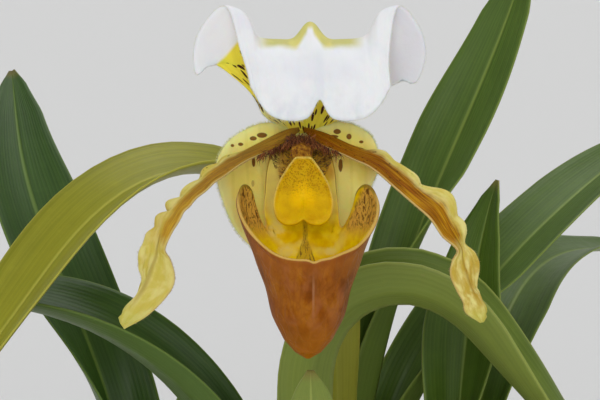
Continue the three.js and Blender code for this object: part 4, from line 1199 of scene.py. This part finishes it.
def make_stalk():
    random = np.random.default_rng(5)
    green = stem_paint("stalk", "46501f", "7d7f3c")
    x, y = GROWTHS[0].x, GROWTHS[0].y
    scape = curve([
        [x, y, LEAF_FOOT], [x, y, 125], [x + 0.4, y + 0.2, 170], [-1.2, SCAPE_TOP_Y - 0.5, 215],
        [0, SCAPE_TOP_Y, SCAPE_TOP]])
    tube("scape_stem", scape, scape_radius, 60, 20, green, replaces="scape", slot="stalk")
    ovary = curve([
        [0, SCAPE_TOP_Y, SCAPE_TOP + CLEARANCE], [0, SCAPE_TOP_Y - 0.6, SCAPE_TOP + 10],
        [-0.1, SCAPE_TOP_Y - 6, SCAPE_TOP + 21], [-0.2, SCAPE_TOP_Y - 15, SCAPE_TOP + 28.3],
        [-0.3, -19.5, SCAPE_TOP + 33.2], [-0.3, FLOWER[1] + 3.8, FLOWER[2] - 2.1]])
    tube("ovary_stem", ovary, OVARY_RADIUS, 60, 24, green, ribs=0.08, replaces="ovary", slot="stalk")
    sheet(
        "bract_blade", bract_surface, 50, 24, 0.7, stem_paint("bract", "6b7a34", "9aa552"),
        replaces="bract", slot="bract")
    sets = []
    for centre, radius, low, count in ((scape, scape_radius, 0.35, 1500), (ovary, OVARY_RADIUS, 0.0, 900)):
        place = random.uniform(low, 1, count)
        tangent = unit(centre(np.minimum(place + 0.01, 1)) - centre(place - 0.01))
        side = unit(np.cross(tangent, [1.0, 0.0, 0.0]))
        turn = random.uniform(0, 2 * math.pi, count)[:, None]
        outward = side * np.cos(turn) + np.cross(side, tangent) * np.sin(turn)
        sets.append((
            centre(place) + outward * (radius(place) * 0.93)[:, None],
            outward + random.normal(0, 0.25, (count, 3)), random.uniform(0.5, 1.1, count)))
    hairs("stalk_hairs", sets, 0.035, hair_paint("stalk_hair", "4a2a22", "a89a7a"), slot="stalk")


# Flower

HOOD_AXIS = 1.1
HOOD_SLANT = 0.2
# The hood's right half, from its base behind the flower up and over to its front: (off its axis, y, z)
HOOD_NET = [
    [[0, -0.7, -3.4], [1.6, -0.6, -3.4], [3.1, -0.4, -3.4], [4.5, 0.2, -3.2], [6, 1, -3.1]],
    [[0, 4.4, -4.2], [3.4, 4.2, -4.1], [6.2, 4.1, -3.9], [8.7, 4.1, -3.5], [10.9, 4.3, -3]],
    [[0, 10.3, -4.8], [5, 10.3, -4.6], [9.5, 10.6, -4], [14, 11.6, -3], [18.6, 12.9, -1.8]],
    [[0, 15, -4.4], [6, 14.8, -4.2], [11.5, 14.8, -3.4], [18, 14.5, -2], [25, 12.4, -0.3]],
    [[0, 17.6, -2.6], [6.5, 17.3, -2.2], [13, 18.5, -1.6], [19.5, 21, -0.6], [24.8, 20.9, 0.4]],
    [[0, 19.4, 0.8], [6, 19.4, 0.9], [12, 20.2, 1.4], [15, 25.3, 2], [19, 27, 2.2]],
    [[0, 13.5, 6.5], [6, 13.3, 6.5], [11, 14, 6.2], [14, 15.3, 5.7], [16.2, 16.6, 5.1]],
    [[0, 2.4, 10.2], [5.5, 1.5, 10.7], [10, 2.4, 10.5], [13.3, 5.3, 9.6], [15.6, 9, 8.3]],
]
HOOD_HAIRS = 1500


def hood_surface():
    rows = []
    for row in HOOD_NET:
        right = [[HOOD_AXIS + HOOD_SLANT * z + x, y, z] for x, y, z in row]
        left = [[HOOD_AXIS + HOOD_SLANT * z - x, y, z] for x, y, z in row[1:]]
        rows.append(left[::-1] + right)
    net = net_surface(rows)

    def at(along, across):
        point = net(along, across)
        x, y, z = np.moveaxis(point, -1, 0)
        out = np.abs(2 * across - 1)
        left = across < 0.5
        tip = bell(along, 0.43, 0.05) * smooth(0.93, 1, out)
        left_raise = 2.4 * bell(along, 0.37, 0.06) * smooth(0.6, 0.85, out) * (1 - tip)
        right_raise = 1.9 * bell(along, 0.36, 0.05) * smooth(0.8, 1, out)
        # The keel over the fold and the notch of the front margin, then the two ears
        y += 3.9 * bell(across, 0.5, 0.05) * bell(along, 0.69, 0.1)
        y += 3.7 * bell(across, 0.5, 0.034) * smooth(0.84, 1, along)
        y += np.where(left, left_raise, right_raise)
        y -= np.where(left, 0, 3.6) * smooth(0.72, 1, out) * bell(along, 0.33, 0.13)
        x -= np.where(left, 0, 1.6) * smooth(0.8, 1, out) * bell(along, 0.41, 0.07)
        x += np.where(left, 1.1, 0) * smooth(0.45, 1, out) * smooth(0.8, 1, along)
        x += np.where(left, 1.6, 0) * smooth(0.6, 1, out) * bell(along, 0.2, 0.06)
        z += 0.8 * (bell(out, 0.32, 0.16) * smooth(0.8, 0.97, along))
        z += 0.25 * np.sin(9 * across * math.pi + 3 * along) * smooth(0.7, 1, along)
        return point

    return at


def make_hood():
    surface = hood_surface()
    sheet(
        "dorsal_sepal_blade", surface, 110, 150, 0.9, hood_paint(), replaces="dorsal_sepal",
        slot="dorsal_sepal", in_flower=True)
    random = np.random.default_rng(21)
    edge = random.uniform(0, 1, HOOD_HAIRS)
    which = random.integers(0, 3, HOOD_HAIRS)
    front, left = which == 0, which == 1
    along = np.where(front, 1.0, random.uniform(0.05, 1, HOOD_HAIRS))
    centre = surface(along, np.where(front, edge, np.where(left, 0.0, 1.0)))
    inner = surface(np.where(front, 0.985, along), np.where(front, edge, np.where(left, 0.015, 0.985)))
    margin_hairs(
        "dorsal_sepal_hairs", centre, inner, (0.35, 0.8), 0.03, hair_paint("pale_hair", "e4e4c8", "f8f8f0"),
        random, slot="dorsal_sepal")


SYNSEPAL_CENTRE = (-1.5, -13)
SYNSEPAL_OUTLINE = [
    [-0.3, -0.6], [3.9, 0.9], [8.6, 1.8], [13.4, -0.2], [15.8, -3.8], [16.3, -8], [14.6, -13], [13, -19],
    [11, -25], [6.5, -32], [0.5, -35.5], [-6, -32], [-11, -27], [-15.1, -22.5], [-17.6, -17.5],
    [-19.3, -11.9], [-19.5, -7], [-16.8, -2.4], [-12.8, 0.3], [-8.6, 1.7], [-4.4, 0.9],
]
SYNSEPAL_HAIRS = 2200


def synsepal_surface():
    outline = curve(SYNSEPAL_OUTLINE, closed=True)
    centre_x, centre_y = SYNSEPAL_CENTRE

    def at(along, across):
        edge = outline(across)
        x = lerp(edge[..., 0], centre_x, along)
        y = lerp(edge[..., 1], centre_y, along)
        away = np.abs(x - centre_x)
        shoulder = 1.3 * smooth(2, 6, away) * smooth(-9, -1, y)
        depth = -3.4 - 3.6 * smooth(1, 18, -y) - 0.06 * np.maximum(0, -y - 18)
        frill = 0.3 * np.sin(across * 2 * math.pi * 13) * (1 - along) ** 6
        return np.stack([x, y, depth + shoulder + 0.0085 * away**2 + frill], -1)

    return at


def make_synsepal():
    surface = synsepal_surface()
    sheet(
        "synsepal_blade", surface, 60, 200, 0.9, synsepal_paint(), wrap=True, pole=True, replaces="synsepal",
        slot="synsepal", in_flower=True)
    random = np.random.default_rng(22)
    across = random.uniform(0.07, 0.93, SYNSEPAL_HAIRS)
    centre = surface(np.zeros(SYNSEPAL_HAIRS), across)
    inner = surface(np.full(SYNSEPAL_HAIRS, 0.02), across)
    margin_hairs(
        "synsepal_hairs", centre, inner, (0.4, 0.95), 0.035, hair_paint("yellow_hair", "d8d890", "f0f0c0"),
        random, slot="synsepal")


# Each row of a petal: its lower edge, midrib and upper margin, from the base to the tip
PETAL_LEFT = [
    [[-1.1, -0.2, -1.4], [-1.3, 0.3, -1.4], [-1.3, 0.7, -1.4]],
    [[-6.4, -4.0, 1.9], [-5.7, -2.5, 1.3], [-4.8, -0.2, -0.6]],
    [[-12.6, -6.9, 4.6], [-12.7, -5.6, 3.2], [-12.5, -4.2, 0.6]],
    [[-18.3, -10.9, 7.4], [-18.7, -8.9, 5.4], [-19.2, -6.9, 2.4]],
    [[-21.7, -13.7, 8.6], [-22.5, -11.9, 6.4], [-23.1, -10.4, 3.4]],
    [[-24.6, -16.5, 10.2], [-26.3, -15.4, 8], [-28.0, -14.7, 5]],
    [[-26.8, -19.7, 12.2], [-28.7, -18.4, 9.6], [-30.9, -18.2, 6.8]],
    [[-28.4, -22.8, 13.8], [-30.3, -21.6, 11.4], [-32.6, -21.0, 9]],
    [[-29.7, -25.8, 14.4], [-31.3, -25.2, 12.6], [-34.2, -23.7, 11]],
    [[-28.6, -27.9, 14], [-31.7, -27.3, 13], [-35.4, -26.8, 13.8]],
    [[-27.6, -31.0, 14.8], [-32.9, -30.2, 13.4], [-35.2, -29.8, 14.6]],
    [[-27.9, -33.7, 15.2], [-33.9, -33.2, 14], [-34.6, -32.6, 13.6]],
    [[-30.0, -36.7, 15.6], [-35.5, -36.1, 15], [-35.5, -35.3, 13]],
    [[-33.5, -40.0, 16], [-37.5, -38.8, 15.8], [-37.5, -38.0, 14]],
    [[-38.1, -42.6, 16.2], [-39.0, -41.3, 16.2], [-39.3, -40.1, 16]],
]
PETAL_RIGHT = [
    [[-0.4, -0.2, -1.4], [-0.3, 0.2, -1.4], [-0.2, 0.7, -1.4]],
    [[3.7, -3.4, 1.9], [4.2, -2.0, 1.3], [4.8, -0.9, -0.6]],
    [[9.8, -6.3, 4.6], [10.3, -5.0, 3.2], [11.2, -3.8, 0.6]],
    [[15.1, -9.1, 6.8], [16.1, -7.4, 4.8], [17.5, -5.1, 2]],
    [[19.7, -13.3, 8.6], [21.2, -11.3, 6.4], [23.1, -9.5, 3.4]],
    [[23.3, -16.3, 10.2], [24.9, -14.5, 8], [26.9, -12.6, 5]],
    [[26.3, -19.4, 12.2], [28.5, -17.5, 9.6], [31.3, -15.6, 6.8]],
    [[29.0, -23.0, 13.8], [30.9, -21.6, 11.4], [33.9, -19.9, 9]],
    [[32.1, -26.0, 14.4], [32.9, -25.4, 12.6], [34.1, -24.4, 11]],
    [[31.1, -28.3, 14], [33.5, -28.1, 13], [36.2, -26.8, 13.8]],
    [[30.6, -31.2, 14.8], [34.3, -30.9, 13.4], [36.9, -30.0, 14.6]],
    [[32.0, -34.6, 15.2], [35.3, -34.2, 14], [36.4, -33.2, 14.0]],
    [[33.2, -36.9, 15.6], [36.2, -36.1, 15], [36.7, -35.1, 13.2]],
    [[33.8, -39.2, 16], [37.4, -38.6, 15.8], [38.0, -37.8, 14.2]],
    [[36.8, -41.3, 16.2], [37.6, -41.1, 16.2], [38.2, -40.0, 16]],
]
PETALS = (("petal_left", PETAL_LEFT, -1), ("petal_right", PETAL_RIGHT, 1))
# The notches between the waves of each petal's upper margin, as shares of its length,
# and the length of a wave of the usual height
PETAL_NOTCHES = {
    -1: [0, 0.07, 0.15, 0.215, 0.29, 0.35, 0.41, 0.5, 0.6, 0.72, 0.86, 1],
    1: [0, 0.05, 0.11, 0.17, 0.24, 0.33, 0.475, 0.58, 0.68, 0.8, 0.9, 1],
}
PETAL_WAVE = 0.08
PETAL_HAIRS = 700


def petal_surface(rows, side):
    """A hanging petal. Its upper margin is crisped in round waves until the blade pinches before its end."""
    low, mid, high = np.moveaxis(np.array(rows, float), 1, 0)
    net = net_surface(np.stack([low, (low + mid) / 2, mid, (mid + high) / 2, high], 1))
    notches = np.array(PETAL_NOTCHES[side])
    sizes = np.sqrt(np.diff(notches) / PETAL_WAVE)

    def at(along, across):
        point = net(along, across)
        step = 1e-3
        tangent = unit(net(np.minimum(along + step, 1), across) - net(np.maximum(along - step, 0), across))
        margin = unit(net(along, np.minimum(across + step, 1)) - net(along, np.maximum(across - step, 0)))
        face = unit(np.cross(tangent, margin)) * -side
        count = np.interp(along, notches, np.arange(len(notches)))
        size = sizes[np.minimum(count.astype(int), len(sizes) - 1)]
        turn = 2 * math.pi * count
        # Round crests with a soft notch between them
        crest = size * (np.sqrt(np.sin(turn / 2) ** 2 + 0.02) - 0.141)
        strength = smooth(0.1, 0.3, along) * (1 - 0.75 * smooth(0.52, 0.6, along))
        strength = strength * (1 - smooth(0.93, 1, along))
        strength = strength * (0.7 + 0.3 * np.sin(0.37 * turn + 1))
        frill = strength * smooth(0.45, 1, across) ** 1.3
        point = point - face * (frill * (2.4 * crest - 1.0))[..., None]
        point = point + tangent * (frill * crest)[..., None]
        low_frill = 0.2 * strength * smooth(-0.35, 0, -across) * np.sin(turn * 0.8 + 1)
        return point + face * low_frill[..., None]

    return at


def make_petals():
    material = petal_paint()
    fuzz = hair_paint("petal_hair", "6a3a20", "d8c08a")
    random = np.random.default_rng(23)
    for name, rows, side in PETALS:
        surface = petal_surface(rows, side)
        sheet(
            f"{name}_blade", surface, 280, 44, 0.7, material, replaces=name, slot="petal", in_flower=True)
        along = random.uniform(0.05, 0.97, PETAL_HAIRS)
        lower = random.uniform(0, 1, PETAL_HAIRS) < 0.5
        margin_hairs(
            f"{name}_hairs", surface(along, np.where(lower, 0.0, 1.0)),
            surface(along, np.where(lower, 0.03, 0.97)), (0.25, 0.6), 0.03, fuzz, random, spread=0.3,
            slot="petal")


# Inside the pouch: two soft lobes and three patches of painted light where light shows through the thin wall,
# each (x, y, half width, half height), and the middle of the hairy strip between the lobes
POUCH_LOBES = [(-3.3, -22.8, 2.6, 2.1), (4.3, -23.3, 3.0, 2.6)]
POUCH_LIT_PATCHES = [(-4.1, -26.7, 2.1, 1.1), (5.8, -26.7, 1.3, 0.8), (-6.6, -21.7, 1.7, 1.7)]
POUCH_STRIP = 0.05
POUCH_AXIS = 0.4
POUCH_SLANT = 0.1
POUCH_BOTTOM = -49
# The pouch at each height: half its width, and how far out its front and back walls stand
POUCH_HALF_WIDTH = graded([
    (-49, 0.2), (-47.6, 2.5), (-45, 4.8), (-40, 7.3), (-34, 9), (-28, 12.1), (-22, 14.4),
    (-17, 15), (-12.5, 14.6), (-8, 14.4), (-4, 14.2)])
POUCH_FRONT = graded([
    (-49, 10), (-47.6, 12.4), (-45, 14.4), (-40, 17), (-34, 18.8), (-28, 20), (-17, 20), (-8, 17), (-4, 14)])
POUCH_BACK = graded([
    (-49, 9.6), (-47.6, 7.8), (-45, 6), (-40, 4), (-34, 2.3), (-28, 1), (-22, 0), (-12.5, -0.8), (-4, -0.8)])
# The height of its rim by the angle from its front, and soft rises of that rim: (angle, width, height)
POUCH_RIM = [
    [0, -28.4], [20, -27.9], [39, -26.3], [57, -23], [74, -18.8], [89, -15.4], [103, -12.9], [117, -12],
    [129, -13.6], [137, -18], [143, -21], [148, -20], [150, -14.5], [151.5, -8.5], [157, -4.6], [168, -4.2],
    [180, -5.2],
]
POUCH_RISES = [(0, 22, 0.6), (32, 16, 0.9), (1.5, 5, -0.5)]
POUCH_THICKNESS = 0.9


def pouch_surface():
    angle_at, rim_at = (graded(list(enumerate(values))) for values in zip(*POUCH_RIM))
    half = len(POUCH_RIM) - 1

    def at(along, across):
        place = (across % 1) * 2 * half
        folded = np.where(place <= half, place, 2 * half - place)
        angle = np.radians(np.where(place <= half, 1, -1) * angle_at(folded))
        degrees = np.degrees(angle)
        rim = rim_at(folded)
        for centre, width, rise in POUCH_RISES:
            rim = rim + rise * bell(degrees, centre, width)
        height = lerp(rim, POUCH_BOTTOM, 1 - (1 - along) ** 1.4)
        front = POUCH_FRONT(height)
        back = POUCH_BACK(height)
        z = (front + back) / 2 + (front - back) / 2 * np.cos(angle)
        # The wall draws in under its flared rim
        half_width = POUCH_HALF_WIDTH(height) - 1.4 * bell(height, -25, 7) * smooth(0, 0.08, along)
        x = POUCH_AXIS + POUCH_SLANT * (z - 8) + half_width * np.sin(angle)
        # The claw's left margin stands further out than its right one
        x = x - 1.1 * smooth(-24, -17, height) * smooth(134, 146, -degrees) * (1 - smooth(155, 178, -degrees))
        return np.stack([x, height, z], -1)

    return at


def pouch_pillows(along, across, side, points):
    """Two soft pillows on the inside of the back wall, under the staminode."""
    raised = np.zeros_like(along)
    if side:
        return raised
    for x, y, half_x, half_y in POUCH_LOBES:
        raised += 1.7 * bell(points[..., 0], x, half_x * 0.8) * bell(points[..., 1], y, half_y * 0.8)
    return raised * (points[..., 2] < 5)


def make_pouch():
    sheet(
        "pouch_blade", pouch_surface(), 110, 208, POUCH_THICKNESS, pouch_paint(), wrap=True, pole=True,
        relief=pouch_pillows, replaces="pouch", slot="pouch", in_flower=True)


SHIELD_CENTRE = (-0.4, -14.4)
SHIELD_DEPTH = 11.2
SHIELD_OUTLINE = [
    [0, 8.2], [1.6, 8.1], [2.7, 6.9], [4, 5], [5.4, 2.5], [6.2, 0], [6.4, -2.6], [5.5, -5.2], [3.7, -6.4],
    [1.4, -6.2], [0, -5.3],
]


def make_staminode():
    left = [[-x, y] for x, y in SHIELD_OUTLINE[1:-1]][::-1]
    outline = curve(SHIELD_OUTLINE + left, closed=True)

    def surface(along, across):
        edge = outline(across)
        out = 1 - along
        rim = 0.5 * smooth(0.8, 1, out)
        boss = 1.1 * bell(out, 0, 0.28)
        return np.stack([
            SHIELD_CENTRE[0] + edge[..., 0] * out, SHIELD_CENTRE[1] + edge[..., 1] * out,
            SHIELD_DEPTH + 0.9 * (1 - out * out) + rim + boss], -1)

    sheet(
        "staminode_blade", surface, 60, 140, 1.2, shield_paint(), wrap=True, pole=True, replaces="staminode",
        slot="staminode", in_flower=True)


COLUMN_RADIUS = graded([(0, 2), (0.3, 2.2), (0.7, 2.3), (1, 1.8)])
NECK_RADIUS = 1.5
# The stigma, the anthers and the knobs at the column's top, each (centre, radii)
COLUMN_KNOBS = [
    ([-0.5, -13, 5.8], [3, 3.4, 1.2]),
    ([-1.9, -7.4, 6], [1.2, 1.2, 1.8]),
    ([1.0, -7.4, 6], [1.2, 1.2, 1.8]),
    ([-1.9, -4.8, 7.6], [1.1, 1.3, 1.2]),
    ([0.3, -4.8, 7.6], [1.1, 1.3, 1.2]),
    ([-0.8, -4.6, 8.0], [1.6, 1.5, 1.2]),
]


def column_lumps(along, angle):
    return 0.12 * np.sin(9 * along * math.pi + 2 * angle) * np.sin(5 * angle)


def make_column():
    material = column_paint()
    body = curve([[-0.8, -4.6, -2.6], [-0.8, -4.4, 2], [-0.7, -5.2, 6], [-0.5, -8, SHIELD_DEPTH - 1.1]])
    tube(
        "column_body", body, COLUMN_RADIUS, 40, 32, material, lumps=column_lumps, replaces="column",
        slot="column", in_flower=True)
    neck = curve([[-0.6, -5, 4], [-0.5, -8.5, 5.2], [-0.5, -12, 5.6]])
    tube(
        "stigma_neck", neck, lambda place: np.full(place.shape, NECK_RADIUS), 20, 20, material,
        slot="column", in_flower=True)
    lot = Lot()
    for centre, radii in COLUMN_KNOBS:
        form = bmesh.new()
        bmesh.ops.create_icosphere(form, subdivisions=3, radius=1)
        points, faces = taken_from(form)
        lot.add(points * radii + centre, faces, [0.5, 0.5, 1])
    lot.piece("stigma_and_anthers", material, slot="column", in_flower=True)


PETAL_FOOT_HAIRS = 150
RING_HAIRS = 290
FAN_HAIRS = 150
CAP_HAIRS = 120
CLAW_TRIES = 6000
CLAW_HAIRS = 360
CLAW_AXIS = -0.6


def make_maroon_hairs(random):
    """Dark hairs at the petals' bases, in a ring round the column, in a fan over it and on its cap."""
    sets = []
    for _, rows, side in PETALS:
        along = 0.015 + 0.1 * random.uniform(0, 1, PETAL_FOOT_HAIRS) ** 0.9
        across = random.uniform(0.0, 0.12, PETAL_FOOT_HAIRS)
        sets.append((
            petal_surface(rows, side)(along, across) + [0, 0, 0.2],
            [0.45 * side, -1.0, 0.3] + random.normal(0, 0.35, (PETAL_FOOT_HAIRS, 3)),
            random.uniform(1.8, 3.6, PETAL_FOOT_HAIRS) * (1.15 - 2.5 * along)))
    turn = random.uniform(0.1, math.pi - 0.1, RING_HAIRS)
    far = random.uniform(2.2, 3.8, RING_HAIRS)
    depth = random.uniform(2.0, 6.5, RING_HAIRS)
    sets.append((
        np.stack([-0.9 + far * np.cos(turn), -4.2 + 0.75 * far * np.sin(turn), depth], -1),
        np.stack([np.cos(turn) * 0.5, -0.6 + np.sin(turn) * 0.2, random.uniform(0.4, 1.0, RING_HAIRS)], -1),
        random.uniform(0.9, 2.2, RING_HAIRS)))
    spans = ((-3.6, 1.8), (-3.4, -1.6), (2.5, 5.5))
    roots = np.stack([random.uniform(*span, FAN_HAIRS) for span in spans], -1)
    sets.append((
        roots, (roots - [-0.9, -4.6, 4]) * [1, 1, 0.4] + random.normal(0, 0.5, (FAN_HAIRS, 3)),
        random.uniform(1.0, 2.2, FAN_HAIRS)))
    turn = random.uniform(0, 2 * math.pi, CAP_HAIRS)
    far = random.uniform(0.3, 2.0, CAP_HAIRS)
    sets.append((
        np.stack([-0.9 + far * np.cos(turn), -4.4 + 0.8 * far * np.sin(turn), 8.6 - 0.5 * far], -1),
        np.stack([0.9 * np.cos(turn), 0.9 * np.sin(turn), random.uniform(0.2, 0.8, CAP_HAIRS)], -1),
        random.uniform(0.5, 1.5, CAP_HAIRS)))
    hairs(
        "maroon_hairs", sets, 0.1, hair_paint("maroon_hair", "360a0a", "bc7034"), droop=0.5, curl=0.4,
        random=random, slot="petal", in_flower=True)


def make_claw_hairs(random):
    """Curly golden hairs on both sides of the pouch's claw, apart from a bare strip in its middle."""
    across = random.uniform(0.32, 0.68, CLAW_TRIES)
    along = random.uniform(0.0, 0.16, CLAW_TRIES)
    centre, normal = inner_face(pouch_surface(), along, across, POUCH_THICKNESS)
    x, y, _ = centre.T
    off = np.abs(x - CLAW_AXIS)
    kept = (off > 1.2) & (off < 7.6 + (y + 5) * 0.5) & (y > -10.6) & (y < -3) & (off > (-3.2 - y) * 0.3)
    centre, normal = centre[kept][:CLAW_HAIRS], normal[kept][:CLAW_HAIRS]
    sway = np.sign(centre[:, :1] - CLAW_AXIS) * [-0.6, 0, 0] + [0, -0.7, 0.2]
    directions = normal * 0.5 + sway + random.normal(0, 0.3, centre.shape)
    hairs(
        "claw_hairs", [(centre, directions, random.uniform(1.4, 2.8, len(centre)))], 0.08,
        hair_paint("claw_hair", "3c1a04", "dca848"), droop=0.2, curl=0.6, random=random, slot="pouch",
        in_flower=True)


def make_camera():
    data = bpy.data.cameras.new("camera")
    data.lens = CAMERA_LENS
    data.sensor_width = CAMERA_SENSOR
    data.clip_start = 0.01
    camera = add_object("camera", data)
    place = Matrix(FLOWER_AXES.T.tolist()).to_4x4()
    place.translation = (from_flower(CAMERA_PLACE) * MM).tolist()
    camera.matrix_world = place
    bpy.context.scene.camera = camera


# A wide floor that rises softly far away, so that no view shows its end: (radius, height) in metres
FLOOR_RINGS = [(2, 0), (6, 0), (12, 0), (16, 0.25), (19, 1.1), (21, 2.6), (22, 4.5), (22.4, 6)]
FLOOR_SIDES = 96
SUNS = (
    # name, direction it comes from, strength, softness in degrees
    ("key", (-0.35, -0.8, 0.75), 0.5, 40),
    ("front", (0.05, -1, 0.18), 1.76, 50),
    ("fill", (0.8, -0.5, 0.45), 0.2, 60),
    ("top", (0.1, 0.45, 1), 1.1, 50),
)


def make_floor():
    angle = np.arange(FLOOR_SIDES) / FLOOR_SIDES * 2 * math.pi
    points = [(0, 0, 0)]
    for radius, height in FLOOR_RINGS:
        points.extend(zip(radius * np.cos(angle), radius * np.sin(angle), np.full(FLOOR_SIDES, height)))
    faces = [[0, 1 + k, 1 + (k + 1) % FLOOR_SIDES] for k in range(FLOOR_SIDES)]
    for low in range(1, len(points) - FLOOR_SIDES, FLOOR_SIDES):
        high = low + FLOOR_SIDES
        for k in range(FLOOR_SIDES):
            after = (k + 1) % FLOOR_SIDES
            faces.append([low + k, high + k, high + after, low + after])
    mesh = bpy.data.meshes.new("floor")
    mesh.from_pydata([tuple(map(float, p)) for p in points], [], faces)
    mesh.shade_smooth()
    floor = add_object("floor", mesh)
    paint = bpy.data.materials.new("floor")
    paint.use_nodes = True
    shader = paint.node_tree.nodes["Principled BSDF"]
    shader.inputs["Base Color"].default_value = (0.78, 0.78, 0.77, 1)
    shader.inputs["Roughness"].default_value = 0.9
    mesh.materials.append(paint)


def make_light():
    world = bpy.data.worlds.new("studio")
    world.use_nodes = True
    sky = world.node_tree.nodes["Background"]
    sky.inputs["Color"].default_value = (0.96, 0.97, 1.0, 1)
    sky.inputs["Strength"].default_value = 0.28
    bpy.context.scene.world = world
    bpy.context.scene.view_settings.view_transform = "Standard"
    for name, source, strength, softness in SUNS:
        data = bpy.data.lights.new(name, "SUN")
        data.energy = strength
        data.angle = math.radians(softness)
        lamp = add_object(name, data)
        lamp.rotation_euler = Vector(source).to_track_quat("Z", "Y").to_euler()


make_camera()
make_floor()
make_light()
make_pot()
make_mix()
make_leaves()
make_stalk()
make_hood()
make_synsepal()
make_petals()
make_pouch()
make_staminode()
make_column()
flower_random = np.random.default_rng(31)
make_maroon_hairs(flower_random)
make_claw_hairs(flower_random)
